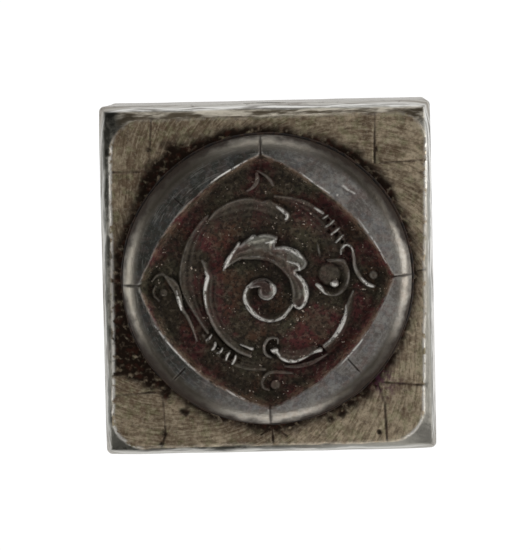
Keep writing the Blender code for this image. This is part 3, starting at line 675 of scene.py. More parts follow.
def block_height(x, y):
    """Height of the block's top surface, with the masks that the material reads."""
    ragged = 0.14 * rough_noise(x, y, 3.2, 51) + 0.07 * rough_noise(x, y, 0.8, 55)
    inward = depth_in_plateau(x, y) + ragged
    inset = np.minimum(BLOCK_HIGH.x - np.abs(x), BLOCK_HIGH.y - np.abs(y))
    width = BEVEL_WIDTH * (1 + 0.4 * rough_noise(x, y, 5.0, 57, 4) + 0.35 * smooth(y, 17.0, 19.0))
    bevel = width - inset
    height = -FACET_SLOPE * np.clip(-inward, 0, None) - BEVEL_SLOPE * np.clip(bevel, 0, None)

    px, py = turned_by(x, y, LAYOUT_TURN)
    lines = grooves(px, py, SCRIBED_LINES, 1.5)
    lines = lines * (0.6 + 0.4 * smooth(rough_noise(x, y, 1.6, 61), -0.5, 0.4))
    witness = grooves(px, py, WITNESS_MARKS, 1.5)
    dot = dimples(px, py, [PUNCH_DOT])
    chips = dimples(px, py, CHIPS)
    height = height - 0.09 * lines - 0.10 * witness - 0.3 * dot - 0.12 * chips
    height = height + 0.02 * rough_noise(x, y, 4.0, 71)
    bulge = height - blurred(height, 8)
    away = np.hypot(px, py) - DIE_RADIUS
    ragged_dirt = 1 + 0.6 * rough_noise(x, y, 2.0, 81) + 0.25 * rough_noise(x, y, 0.6, 85)
    spread = halo_width(np.arctan2(py, px)) * ragged_dirt
    ragged_x, ragged_y = (0.4 * rough_noise(x, y, 0.9, seed) for seed in (87, 89))
    patches = dimples(px + ragged_x, py + ragged_y, GRIME_PATCHES)
    # The edge line is rubbed steel painted near white; side weights it, as a painted highlight, to the
    # left and right edges and away from the back and the middle.
    side = smooth(np.abs(x - PLATEAU_CENTRE[0]), 14.2, 16.4) * (1 - 0.75 * smooth(y, 14.8, 17.0))
    side = side * (1 - 0.45 * np.exp(-(y / 6.0) ** 2))
    rubbed = np.exp(-((inward + 0.02) / 0.15) ** 2) * np.maximum(side, 0.15)
    masks = {
        "grime": np.maximum(smooth(spread - away, -1.1, 0.5), smooth(patches, 0.0, 1.0)),
        "line": np.clip(lines + witness + 1.5 * dot, 0, 1),
        "edge": rubbed,
        "cavity": smooth(-bulge, 0.02, 0.10),
        "flank": smooth(-inward, 0.02, 0.25),
        "bevel": smooth(bevel, -0.15, 0.2),
    }
    return height, masks


def dimples(x, y, places):
    """Round dimples, 1 at each centre and 0 at its edge."""
    result = np.zeros(x.shape)
    for (px, py), radius in places:
        result = np.maximum(result, np.clip(1 - (np.hypot(x - px, y - py) / radius) ** 2, 0, 1))
    return result


def round_corners(x, y):
    """Moves the points in the four corner squares of the block's outline into quarter discs."""
    dx = np.clip((np.abs(x) - BLOCK_HIGH.x) / FLANK_CORNER + 1, 0, None)
    dy = np.clip((np.abs(y) - BLOCK_HIGH.y) / FLANK_CORNER + 1, 0, None)
    inner_x, inner_y = np.abs(x) - dx * FLANK_CORNER, np.abs(y) - dy * FLANK_CORNER
    round_x = inner_x + FLANK_CORNER * dx * np.sqrt(1 - dy ** 2 / 2)
    round_y = inner_y + FLANK_CORNER * dy * np.sqrt(1 - dx ** 2 / 2)
    return np.sign(x) * round_x, np.sign(y) * round_y


def block_mesh():
    """The block with its carved top, closed below; its bores are cut afterwards."""
    xs = np.linspace(BLOCK_LOW.x, BLOCK_HIGH.x, round((BLOCK_HIGH.x - BLOCK_LOW.x) / BLOCK_CELL))
    ys = np.linspace(BLOCK_LOW.y, BLOCK_HIGH.y, round((BLOCK_HIGH.y - BLOCK_LOW.y) / BLOCK_CELL))
    x, y = np.meshgrid(xs, ys, indexing="ij")
    height, masks = block_height(x, y)
    x, y = round_corners(x, y)
    number = np.arange(x.size).reshape(x.shape)
    points = np.stack([x.ravel(), y.ravel(), BLOCK_TOP + height.ravel()], 1)
    faces = corners_of_cells(number).reshape(-1, 4)
    shell = Shell(points, faces, {name: mask.ravel() for name, mask in masks.items()})
    ring = np.concatenate([number[:-1, 0], number[-1, :-1], number[:0:-1, -1], number[0, :0:-1]])
    ex, ey, ez = points[ring].T
    on_x = np.sign(ex) * smooth(np.abs(ex), BLOCK_HIGH.x - FLANK_CORNER, BLOCK_HIGH.x)
    on_y = np.sign(ey) * smooth(np.abs(ey), BLOCK_HIGH.y - FLANK_CORNER, BLOCK_HIGH.y)
    foot = BLOCK_LOW.z + FOOT_CHAMFER
    rings = [(ez + (foot + 0.2 - ez) * share, 0) for share in np.arange(1, 12) / 11]
    rings += [(foot + 0 * ez, 0), (BLOCK_LOW.z + 0 * ez, FOOT_CHAMFER)]
    for level, chamfer in rings:
        inset = chamfer + 0.05 * (1 + rough_noise(ex + 3 * ey, level * 2, 6.0, 91))
        points = np.stack([ex - on_x * inset, ey - on_y * inset, level], 1)
        ring = shell.grow(ring, points, flank=np.ones(len(ring)))
    return shell.closed(ring)


# ---------------------------------------------------------------- turned pieces

THREAD_PITCH = 1.75             # M12, on the shank
THREAD_DEPTH = 0.75
THREAD_RADIUS = 5.9
SCREW_PITCH = 0.8               # M5, on the set screws
SCREW_THREAD_DEPTH = 0.4
SCREW_RADIUS = 2.45
SOCKET_RADIUS = 1.45            # the hexagon, to its corners
SOCKET_DEPTH = 2.6
TANG_RADIUS = 4.0
CAP_FLOOR = 2.5                 # the tang's hole in the cap ends here
BEAD = 0.85                     # half the height of a sleeve's rolled bead
SOCKET_FLOOR = 107.5            # heights inside the block: the die's socket ends here,
THREAD_END = 104.5              # and the shank's threaded bore here
KNOCK_OUT_RADIUS = 3.0          # the hole that joins the two
OVER = 2.0                      # how far a cutter reaches past a face


def turned_mesh(profile, sides=128, finest=0.8, radius_at=None):
    """A closed (radius, height) profile turned about the axis; long stretches are divided.

    radius_at(angle, radius, height), all arrays, may change the radius."""
    dense = []
    for (ra, za), (rb, zb) in zip(profile, profile[1:] + profile[:1]):
        parts = max(1, math.ceil(math.hypot(rb - ra, zb - za) / finest))
        dense += [(ra + (rb - ra) * k / parts, za + (zb - za) * k / parts) for k in range(parts)]
    radius, height = np.array(dense).T
    angle = np.arange(sides) * TURN / sides
    a, r, z = np.broadcast_arrays(angle[None, :], radius[:, None], height[:, None])
    if radius_at is not None:
        r = np.where(r > 1e-6, radius_at(a, r, z), r)
    points = np.stack([r * np.cos(a), r * np.sin(a), z], 2).reshape(-1, 3)
    faces = []
    rows = len(dense)
    number = np.arange(rows * sides).reshape(rows, sides)
    for low in range(rows):
        high = (low + 1) % rows
        if radius[low] < 1e-6 and radius[high] < 1e-6:
            continue
        here, above = number[low], number[high]
        faces += np.stack([here, np.roll(here, -1), np.roll(above, -1), above], 1).tolist()
    return points, faces


def even_out(name, points, faces, layers=None):
    """Makes the object: metres, no doubled points on the axis, faces outwards."""
    mesh = bpy.data.meshes.new(name)
    mesh.from_pydata(points * MM, [], faces)
    for layer, values in (layers or {}).items():
        attribute = mesh.attributes.new(layer, "FLOAT", "POINT")
        attribute.data.foreach_set("value", values.astype(np.float32))
    bm = bmesh.new()
    bm.from_mesh(mesh)
    bmesh.ops.remove_doubles(bm, verts=bm.verts, dist=1e-7)
    bmesh.ops.dissolve_degenerate(bm, edges=bm.edges, dist=1e-8)
    bmesh.ops.recalc_face_normals(bm, faces=bm.faces)
    bm.to_mesh(mesh)
    bm.free()
    obj = bpy.data.objects.new(name, mesh)
    bpy.context.scene.collection.objects.link(obj)
    return obj


def stand_for(obj, node, surface, crisp=40):
    """Hands a finished piece over to the frame in place of a CAD node."""
    body = next(b for b, nodes in frame["record"]["behaviour"]["bodies"].items() if node in nodes)
    obj.data.materials.clear()
    obj.data.materials.append(surface)
    obj.data.shade_smooth()
    obj.data.set_sharp_from_angle(angle=math.radians(crisp))
    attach(obj, body)
    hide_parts(node)
    return obj


def apply_cut(obj, cutter):
    """Cuts one closed mesh from another and removes the cutter."""
    modifier = obj.modifiers.new("cut", "BOOLEAN")
    modifier.operation = "DIFFERENCE"
    modifier.solver = "EXACT"
    modifier.object = cutter
    bpy.context.view_layer.update()
    evaluated = obj.evaluated_get(bpy.context.evaluated_depsgraph_get())
    result = bpy.data.meshes.new_from_object(evaluated)
    obj.modifiers.clear()
    obj.data = result
    bpy.data.objects.remove(cutter, do_unlink=True)


def rod(name, radius, start, end, sides=48, dome=0.0):
    """A round bar between two points, its ends domed by dome."""
    start, end = Vector(start), Vector(end)
    length = (end - start).length
    cap = [(0, 1), (radius * 0.45, 0.85), (radius * 0.85, 0.35), (radius, -0.3)]
    profile = [(across, -dome * share) for across, share in cap]
    profile += [(across, length + dome * share) for across, share in cap[::-1]]
    points, faces = turned_mesh(profile, sides, finest=2.0)
    turn = np.array((end - start).to_track_quat("Z", "Y").to_matrix())
    return even_out(name, points @ turn.T + np.array(start), faces)


def drill_across(obj, radius, height):
    """Drills right through a piece along X."""
    reach = BLOCK_HIGH.x
    apply_cut(obj, rod("drill", radius, (-reach, 0, height), (reach, 0, height)))


def worn(amount, size, seed):
    """A radius function that leaves a turned piece slightly uneven."""
    def radius_at(angle, radius, height):
        return radius + amount * rough_noise(angle * radius + 40, height, size, seed)
    return radius_at


def thread_cut(angle, height, pitch):
    """Depth of a V thread, 0 at its crest and 1 at its root."""
    phase = height / pitch - angle / TURN
    wave = 2 * np.abs(phase - np.floor(phase) - 0.5)
    return np.clip(1.15 * wave - 0.05, 0, 1)


def packing_ring(surface):
    """Flat washer with a slightly pointed, uneven rim, between the disc's foot and the block."""
    profile = [(SPIGOT_RADIUS + 0.25, RING_LOW.z), (RING_HIGH.x - 0.1, RING_LOW.z),
               (RING_HIGH.x, (RING_LOW.z + RING_HIGH.z) / 2), (RING_HIGH.x - 0.1, RING_HIGH.z),
               (SPIGOT_RADIUS + 0.25, RING_HIGH.z)]
    piece = even_out("packing_washer", *turned_mesh(profile, 160, 1.0, worn(0.09, 1.5, 201)))
    stand_for(piece, "packing_ring", surface)


def shank(surface):
    """Tang, collar with two spanner flats, and a real thread."""
    collar = SHANK_HIGH.x
    flat = collar * 0.84
    low, top = extent("front_buffer_washer")[1].z + 0.1, extent("lock_washer")[0].z - 0.1
    start, end = top + 0.9, SHANK_HIGH.z - 0.8
    neck, relief = 4.5, THREAD_RADIUS - 0.5
    profile = [(0, SHANK_LOW.z), (TANG_RADIUS - 0.5, SHANK_LOW.z), (TANG_RADIUS, SHANK_LOW.z + 0.5),
               (TANG_RADIUS, GRIP_LOW.z + 0.4), (neck, GRIP_LOW.z + 0.9), (neck, low),
               (collar - 0.5, low), (collar - 0.12, low + 0.15), (collar, low + 0.5),
               (collar, top - 0.5), (collar - 0.12, top - 0.15), (collar - 0.5, top), (relief, top),
               (relief, top + 0.5), (THREAD_RADIUS, top + 0.7)]
    profile += [(THREAD_RADIUS, z) for z in np.arange(start, end, 0.14)]
    profile += [(THREAD_RADIUS, end), (THREAD_RADIUS - 0.8, end + 0.8), (0, end + 0.8)]

    def radius_at(angle, radius, height):
        on_flat = smooth(height, low + 1.1, low + 1.4) * (1 - smooth(height, top - 1.4, top - 1.1))
        planed = np.minimum(radius, flat / np.maximum(np.abs(np.sin(angle)), 1e-3))
        radius = radius + (planed - radius) * on_flat
        on_thread = smooth(height, top + 0.6, top + 1.2) * (radius > THREAD_RADIUS - 0.4)
        return radius - THREAD_DEPTH * on_thread * thread_cut(angle, height, THREAD_PITCH)

    piece = even_out("threaded_shank", *turned_mesh(profile, 144, 0.7, radius_at))
    drill_across(piece, 1.0, FERRULE_PIN_HEIGHT)
    drill_across(piece, 1.35, CAP_PIN_HEIGHT)
    stand_for(piece, "shank", surface)


def lock_washer(surface):
    """Spring washer, split by a narrow opening, with its edges broken."""
    low, high = extent("lock_washer")
    inner, outer = 6.25, high.x
    half = (outer - inner) / 2
    middle = (outer + inner) / 2
    thick = high.z - low.z
    edge = 0.15
    section = [(-half, edge), (-half + edge, 0), (half - edge, 0), (half, edge), (half, thick - edge),
               (half - edge, thick), (-half + edge, thick), (-half, thick - edge)]
    steps = 120
    opening = math.radians(14)
    points = []
    for k in range(steps + 1):
        turn = opening / 2 + (TURN - opening) * k / steps
        for across, up in section:
            radius = middle + across
            points.append((radius * math.cos(turn), radius * math.sin(turn), low.z + up))
    count = len(section)
    faces = [list(range(count)), list(range(steps * count, (steps + 1) * count))[::-1]]
    for k in range(steps):
        for j in range(count):
            n = (j + 1) % count
            faces.append([k * count + j, k * count + n, (k + 1) * count + n, (k + 1) * count + j])
    stand_for(even_out("split_washer", np.array(points), faces), "lock_washer", surface)


def buffer_washer(name, node, bore, surface, seed):
    """Leather washer, squeezed so that its rim bulges."""
    low, high = extent(node)
    radius = high.x
    thick = high.z - low.z
    shares = [k / 8 for k in range(9)]
    rim = [(radius - 0.5 * (1 - math.sin(math.pi * k)) ** 2, low.z + thick * k) for k in shares]
    profile = [(bore, low.z)] + rim + [(bore, high.z)]
    piece = even_out(name, *turned_mesh(profile, 144, 0.9, worn(0.14, 2.5, seed)))
    stand_for(piece, node, surface)


def sleeve(name, node, surface, seed, pin_radius=0):
    """Ferrule or hoop: a tube with a rolled bead at each end and small dents."""
    low, high = extent(node)
    bore, outer = 11.0, high.x - 0.15
    profile = [(bore, low.z), (outer - 0.5, low.z)]
    for base in (low.z + BEAD, high.z - BEAD):
        for k in range(9):
            turn = math.pi * (k / 8 - 0.5)
            profile.append((outer - 0.35 + 0.5 * math.cos(turn), base + BEAD * 0.95 * math.sin(turn)))
    profile += [(outer - 0.5, high.z), (bore, high.z)]
    piece = even_out(name, *turned_mesh(profile, 144, 0.8, worn(0.07, 4.0, seed)))
    if pin_radius:
        drill_across(piece, pin_radius, FERRULE_PIN_HEIGHT)
    stand_for(piece, node, surface)


def handle_grip(surface):
    """Turned grip with a full belly, a slim neck and two pairs of fine incised rings."""
    low = extent("rear_hoop")[1].z + 0.1
    high = extent("front_ferrule")[0].z - 0.1
    belly = [(0.00, 12.55), (0.03, 12.75), (0.10, 13.5), (0.22, 14.65), (0.36, GRIP_HIGH.x),
             (0.52, 14.6), (0.68, 13.4), (0.82, 12.2), (0.91, 11.9), (0.97, 12.15), (1.00, 12.3)]
    outline = curve_through([(radius, low + (high - low) * share) for share, radius in belly], 12)
    for ring in (low + 3.2, low + 4.4, high - 4.6, high - 3.4):
        outline[:, 0] -= 0.32 * np.exp(-((outline[:, 1] - ring) / 0.22) ** 2)
    tenon, bore = 10.9, 4.65
    profile = [(bore, GRIP_LOW.z), (tenon, GRIP_LOW.z), (tenon, low)] + [tuple(p) for p in outline]
    profile += [(tenon, high), (tenon, GRIP_HIGH.z), (bore, GRIP_HIGH.z)]
    piece = even_out("turned_grip", *turned_mesh(profile, 160, 0.9, worn(0.06, 9.0, 231)))
    drill_across(piece, 1.0, FERRULE_PIN_HEIGHT)
    stand_for(piece, "handle_grip", surface)


def striking_cap(surface):
    """Steel cap whose rim has spread a little under the mallet."""
    low, high = extent("striking_cap")
    radius = high.x
    profile = [(0, 0.0), (radius - 1.6, 0.0), (radius - 0.9, 0.12), (radius - 0.35, 0.5),
               (radius - 0.05, 1.1), (radius, 1.9), (radius - 0.22, 2.8), (radius - 0.25, high.z - 1.6),
               (radius - 0.5, high.z - 0.6), (radius - 1.4, high.z), (TANG_RADIUS + 0.1, high.z),
               (TANG_RADIUS + 0.1, CAP_FLOOR), (0, CAP_FLOOR)]
    points, faces = turned_mesh(profile, 160, 0.7, worn(0.08, 3.0, 241))
    x, y, z = points.T
    struck = (z < 0.4) & (np.hypot(x, y) < radius - 2.5)
    points[:, 2] += np.where(struck, np.clip(0.25 * rough_noise(x, y, 5.0, 245), 0, 0.2), 0)
    piece = even_out("striking_head", points, faces)
    drill_across(piece, 1.32, CAP_PIN_HEIGHT)
    stand_for(piece, "striking_cap", surface)


def cross_pin(name, node, surface):
    """A pin along X with domed ends."""
    low, high = extent(node)
    middle = (low.z + high.z) / 2
    radius = (high.z - low.z) / 2
    dome = radius * 0.3
    piece = rod(name, radius, (low.x + dome, 0, middle), (high.x - dome, 0, middle), dome=dome)
    stand_for(piece, node, surface)


def set_screws(surface):
    """Four socket set screws with real threads; each one's tip points to the tool's axis."""
    low, high = extent("set_screw_right")
    length = high.x - low.x
    profile = [(0, 0.35), (1.0, 0), (1.35, 0), (1.95, 0.75)]
    profile += [(SCREW_RADIUS, z) for z in np.arange(0.95, length - 0.3, 0.1)]
    profile += [(SCREW_RADIUS - 0.35, length), (0, length)]

    def radius_at(angle, radius, height):
        on_thread = (radius > SCREW_RADIUS - 0.15) * smooth(height, 0.6, 1.0)
        return radius - SCREW_THREAD_DEPTH * on_thread * thread_cut(angle, height, SCREW_PITCH)

    for quarter, name in enumerate(("right", "back", "left", "front")):
        piece = even_out("socket_screw_" + name, *turned_mesh(profile, 72, 0.5, radius_at))
        ends = (0, 0, length - SOCKET_DEPTH), (0, 0, length + 1)
        apply_cut(piece, rod("socket", SOCKET_RADIUS, *ends, sides=6))
        angle = quarter * math.pi / 2
        way = Vector((math.cos(angle), math.sin(angle), 0))
        place = Matrix.Translation((way * low.x + Vector((0, 0, (low.z + high.z) / 2))) * MM)
        piece.data.transform(place @ way.to_track_quat("Z", "Y").to_matrix().to_4x4())
        stand_for(piece, "set_screw_" + name, surface)


def holder_block(surface):
    """The block, its die socket, thread bore, knock-out hole and set screw holes."""
    piece = even_out("steel_block", *block_mesh())
    threaded, socket = THREAD_RADIUS + 0.25, SPIGOT_RADIUS + 0.15
    bore = [(0, BLOCK_LOW.z - OVER), (threaded + OVER, BLOCK_LOW.z - OVER),
            (threaded + 0.6, BLOCK_LOW.z), (threaded, BLOCK_LOW.z + 0.6), (threaded, THREAD_END),
            (KNOCK_OUT_RADIUS, THREAD_END), (KNOCK_OUT_RADIUS, SOCKET_FLOOR), (socket, SOCKET_FLOOR),
            (socket, BLOCK_TOP - 0.3), (socket + 0.3, BLOCK_TOP), (socket + 0.3 + OVER, BLOCK_TOP + OVER),
            (0, BLOCK_TOP + OVER)]
    apply_cut(piece, even_out("bores", *turned_mesh(bore, 96, 3.0)))
    low, high = extent("set_screw_right")
    middle = Vector((0, 0, (low.z + high.z) / 2))
    for way in ((1, 0, 0), (0, 1, 0)):
        far = Vector(way) * (BLOCK_HIGH.y + OVER)
        apply_cut(piece, rod("screw_holes", SCREW_RADIUS + 0.1, middle - far, middle + far, sides=40))
    stand_for(piece, "holder_block", surface, crisp=50)


def die(surface):
    """The engraved round die."""
    stand_for(even_out("engraved_die", *die_mesh()), "die_insert", surface, crisp=60)


# ---------------------------------------------------------------- materials

def srgb(red, green, blue):
    """Linear colour of an 8-bit display colour."""
    def linear(value):
        value /= 255
        return value / 12.92 if value <= 0.04045 else ((value + 0.055) / 1.055) ** 2.4
    return linear(red), linear(green), linear(blue), 1.0


class Nodes:
    """Adds shader nodes to a tree. The methods for numbers and colours return the socket they make."""

    def __init__(self, tree):
        self.nodes, self.links = tree.nodes, tree.links
        self.nodes.clear()

    def add(self, kind, **settings):
        node = self.nodes.new("ShaderNode" + kind)
        for name, value in settings.items():
            setattr(node, name, value)
        return node

    def feed(self, socket, value):
        if isinstance(value, bpy.types.NodeSocket):
            self.links.new(value, socket)
        else:
            socket.default_value = value

    def math(self, operation, *values):
        node = self.add("Math", operation=operation)
        for socket, value in zip(node.inputs, values):
            self.feed(socket, value)
        return node.outputs[0]

    def times(self, *values):
        return reduce(partial(self.math, "MULTIPLY"), values)

    def plus(self, *values):
        return reduce(partial(self.math, "ADD"), values)

    def most(self, *values):
        return reduce(partial(self.math, "MAXIMUM"), values)

    def less(self, *values):
        """What is left of 1 where none of the values covers it."""
        return self.math("SUBTRACT", 1.0, self.most(*values))

    def vector(self, operation, *values, output=0):
        node = self.add("VectorMath", operation=operation)
        for socket, value in zip(node.inputs, values):
            self.feed(socket, value)
        return node.outputs[output]

    def step(self, value, low, high, start=0.0, end=1.0):
        """Smooth step of value between low and high, from start to end."""
        node = self.add("MapRange", interpolation_type="SMOOTHSTEP")
        for socket, number in zip(node.inputs, (value, low, high, start, end)):
            self.feed(socket, number)
        return node.outputs[0]

    def mix(self, share, first, second):
        node = self.add("Mix", data_type="RGBA")
        for place, value in ((0, share), (6, first), (7, second)):
            self.feed(node.inputs[place], value)
        return node.outputs[2]


class Surface(Nodes):
    """A procedural material. Lengths are in mm, in the piece's own frame."""

    def __init__(self, name):
        self.material = bpy.data.materials.new(name)
        self.material.use_nodes = True
        super().__init__(self.material.node_tree)
        self.shader = self.add("BsdfPrincipled")
        output = self.add("OutputMaterial")
        self.links.new(self.shader.outputs[0], output.inputs[0])
        raw = self.add("TexCoord").outputs["Object"]
        self.place = self.vector("MULTIPLY", raw, (1 / MM, 1 / MM, 1 / MM))
        apart = self.add("SeparateXYZ")
        self.feed(apart.inputs[0], self.place)
        self.x, self.y, self.z = apart.outputs

    def mask(self, name):
        return self.add("Attribute", attribute_name=name).outputs["Fac"]

    def noise(self, size, detail=3.0, place=None, roughness=0.55, seed=0.0):
        node = self.add("TexNoise")
        place = place or self.place
        if seed:
            place = self.vector("ADD", place, (seed, seed * 0.7, -seed))
        self.feed(node.inputs["Vector"], place)
        self.feed(node.inputs["Scale"], 1 / size)
        self.feed(node.inputs["Detail"], detail)
        self.feed(node.inputs["Roughness"], roughness)
        return node.outputs[0]

    def tint(self, under, field, low, high, share, tone):
        """Lays a tone over a colour where a field passes the step from low to high."""
        return self.mix(self.times(self.step(field, low, high), share), under, srgb(*tone))

    def patches(self, under, size, detail, low, high, share, tone, seed=0.0):
        """Lays patches of a tone over a colour."""
        return self.tint(under, self.noise(size, detail, seed=seed), low, high, share, tone)

    def cells(self, size):
        node = self.add("TexVoronoi")
        self.feed(node.inputs["Vector"], self.place)
        self.feed(node.inputs["Scale"], 1 / size)
        return node.outputs["Distance"]

    def stretched(self, x, y, z):
        return self.vector("MULTIPLY", self.place, (x, y, z))

    def turned(self, around, across):
        """A place for marks that run round the axis: around is how short they are, across how fine."""
        flat = self.vector("MULTIPLY", self.place, (1, 1, 0))
        radius = self.vector("LENGTH", flat, output=1)
        unit = self.vector("NORMALIZE", flat)
        lift = self.add("CombineXYZ")
        self.feed(lift.inputs[2], self.math("MULTIPLY", radius, across))
        ringed = self.vector("MULTIPLY", unit, (around, around, 0))
        return self.vector("ADD", ringed, lift.outputs[0])

    def swirled(self, pitch, along, across):
        """A place for marks that run round the axis and slant outwards by the angle pitch."""
        flat = self.vector("MULTIPLY", self.place, (1, 1, 0))
        distance = self.math("LOGARITHM", self.vector("LENGTH", flat, output=1), math.e)
        angle = self.math("ARCTAN2", self.y, self.x)
        c, s = math.cos(pitch), math.sin(pitch)
        over = self.plus(self.times(distance, c), self.times(angle, s))
        down = self.plus(self.times(angle, c), self.times(distance, -s))
        place = self.add("CombineXYZ")
        self.feed(place.inputs[0], self.times(over, across))
        self.feed(place.inputs[1], self.times(down, along))
        return place.outputs[0]

    def bumps(self, *layers):
        """Bump layers of (height socket, depth in mm), one on top of the other."""
        normal = None
        for height, depth in layers:
            node = self.add("Bump")
            self.feed(node.inputs["Height"], height)
            self.feed(node.inputs["Distance"], depth * MM)
            if normal:
                self.feed(node.inputs["Normal"], normal)
            normal = node.outputs[0]
        self.feed(self.shader.inputs["Normal"], normal)

    def finish(self, colour, metallic, roughness, **others):
        names = {"Base Color": colour, "Metallic": metallic, "Roughness": roughness, **others}
        for name, value in names.items():
            self.feed(self.shader.inputs[name.replace("_", " ")], value)
        return self.material


GRIME = srgb(40, 31, 25)
WORN_AND_GLINT = srgb(244, 241, 234)      # steel rubbed bare, painted near white so it also stands for a painted highlight
STAIN = (13.6, -12.4)           # centre of a purple stain near the front right corner


def faced_steel(s, left, marks, blotch, fleck):
    """The block's worn face: tarnished, with short slanting tool marks, and painted shade that makes it
    darker towards the left.
    """
    # The left term paints shade: the face turns to the darker tarnish towards the left.
    tarnish = s.step(s.plus(blotch, s.times(left, 0.13)), 0.42, 0.66)
    steel = s.mix(tarnish, srgb(220, 200, 170), srgb(156, 138, 114))
    steel = s.patches(steel, 1.4, 4.0, 0.47, 0.6, 0.5, (128, 104, 84), seed=27)
    steel = s.patches(steel, 1.1, 4.0, 0.5, 0.62, 0.35, (168, 172, 128), seed=29)
    steel = s.tint(steel, marks, 0.52, 0.62, 0.4, (232, 216, 186))
    steel = s.tint(steel, marks, 0.49, 0.4, 0.45, (96, 80, 60))
    steel = s.tint(steel, fleck, 0.5, 0.6, 0.3, (100, 82, 62))
    return s.tint(steel, fleck, 0.46, 0.38, 0.2, (240, 226, 200))


def chamfer_steel(s, left, blotch):
    """The fall outside the worn face: painted shade makes it dark at the left, grey at the right; filed
    along the back.
    """
    facet = s.mix(left, srgb(132, 129, 121), srgb(48, 47, 42))
    facet = s.tint(facet, blotch, 0.44, 0.58, 0.35, (150, 147, 137))
    filed = s.step(s.noise(1.0, 4.0, s.stretched(0.3, 1.6, 1.0), seed=45), 0.4, 0.62)
    back = s.mix(filed, srgb(92, 83, 69), srgb(204, 196, 180))
    return s.mix(s.times(s.step(s.y, 17.6, 18.4), s.step(s.x, -17.6, -16.4)), facet, back)


def ground_steel(s, left):
    """The bright band at the top of the flanks, streaked along the edge, in a painted grey for how light
    falls on each side, and darker on its inner side with painted shade.
    """
    # painted light: one grey on the left, another on the front, a lighter one on the other two sides
    band = s.mix(s.step(s.x, -17.5, -19.0), srgb(218, 217, 213), srgb(180, 179, 174))
    band = s.mix(s.step(s.y, -17.5, -19.5), band, srgb(190, 188, 182))
    streaks = s.noise(1.0, 4.0, s.stretched(0.16, 0.16, 2.5), seed=21)
    band = s.tint(band, streaks, 0.47, 0.6, 0.85, (98, 92, 84))
    inner_part = s.plus(s.z, s.times(s.noise(0.9, 4.0, seed=53), 0.5))
    inner_part = s.step(inner_part, BLOCK_TOP - 0.7, BLOCK_TOP - 0.45)
    shaded = s.times(inner_part, s.step(s.noise(5.0, 3.0, seed=59), 0.4, 0.52))
    shade = s.mix(left, srgb(142, 142, 136), srgb(84, 84, 78))
    return s.mix(s.times(shaded, 0.9), band, shade)


def sawn_steel(s, sawn):
    """The flanks: saw lines, soft tarnish and small rust pits."""
    steel = s.mix(s.step(sawn, 0.4, 0.6), srgb(182, 179, 172), srgb(140, 134, 125))
    tarnish = s.noise(7.0, 6.0, roughness=0.7, seed=47)
    steel = s.tint(steel, tarnish, 0.46, 0.66, 0.6, (98, 86, 74))
    return s.patches(steel, 0.9, 4.0, 0.62, 0.7, 0.6, (70, 56, 44), seed=49)


def holder_steel():
    """Faced bar with ground edges and sawn sides, soiled round the die and along its lines."""
    s = Surface("worn_holder_steel")
    marks = s.noise(1.0, 3.0, s.swirled(math.radians(30), 8.0, 62.0), 0.6)
    blotch = s.noise(3.5, 5.0, roughness=0.65)
    fleck = s.noise(0.32, 2.0, seed=4)
    sawn = s.noise(1.0, 4.0, s.stretched(0.06, 0.06, 2.2), 0.65, seed=43)
    # left: 1 at the left, 0 at the right; it paints shade on the left of the block's top
    left = s.step(s.x, -4.0, 14.0, 1.0, 0.0)
    flank, bevel = s.mask("flank"), s.mask("bevel")
    steel = s.mix(flank, faced_steel(s, left, marks, blotch, fleck), chamfer_steel(s, left, blotch))
    steel = s.mix(bevel, steel, ground_steel(s, left))
    steel = s.mix(s.step(s.z, BLOCK_TOP - 1.2, BLOCK_TOP - 2.0), steel, sawn_steel(s, sawn))

    spatter = s.step(s.noise(0.8, 5.0, seed=6), 0.58, 0.68)
    grime = s.times(s.mask("grime"), s.step(s.noise(0.7, 4.0, seed=3), 0.15, 0.5))
    # Darker in the hollows of the face, and where there is spatter.
    spatter_and_hollows = s.most(s.times(s.mask("cavity"), 0.3), s.times(spatter, 0.4))
    dirt = s.most(grime, s.times(s.mask("line"), 0.95), spatter_and_hollows)
    dirt = s.times(dirt, s.less(bevel, flank))
    soil = s.patches(GRIME, 0.9, 4.0, 0.5, 0.66, 1.0, (60, 38, 31), seed=11)
    colour = s.mix(dirt, steel, soil)
    near_stain = s.vector("DISTANCE", s.place, (*STAIN, BLOCK_TOP), output=1)
    stain = s.times(s.step(near_stain, 2.6, 0.6), s.step(s.noise(0.7, 3.0, seed=8), 0.42, 0.6), 0.6)
    colour = s.mix(stain, colour, srgb(96, 50, 76))
    # Rubbed steel and painted highlight along the face's edge.
    worn = s.times(s.mask("edge"), s.step(s.noise(1.0, 4.0, seed=2), 0.38, 0.5))
    colour = s.mix(worn, colour, WORN_AND_GLINT)

    bare = s.most(s.less(dirt, stain), worn)
    roughness = s.plus(0.42, s.times(dirt, 0.4), s.times(bevel, -0.05))
    s.bumps((marks, 0.03), (fleck, 0.03), (s.times(sawn, flank), 0.02))
    return s.finish(colour, s.times(bare, 0.92), roughness, Specular_IOR_Level=s.times(bare, 0.5))


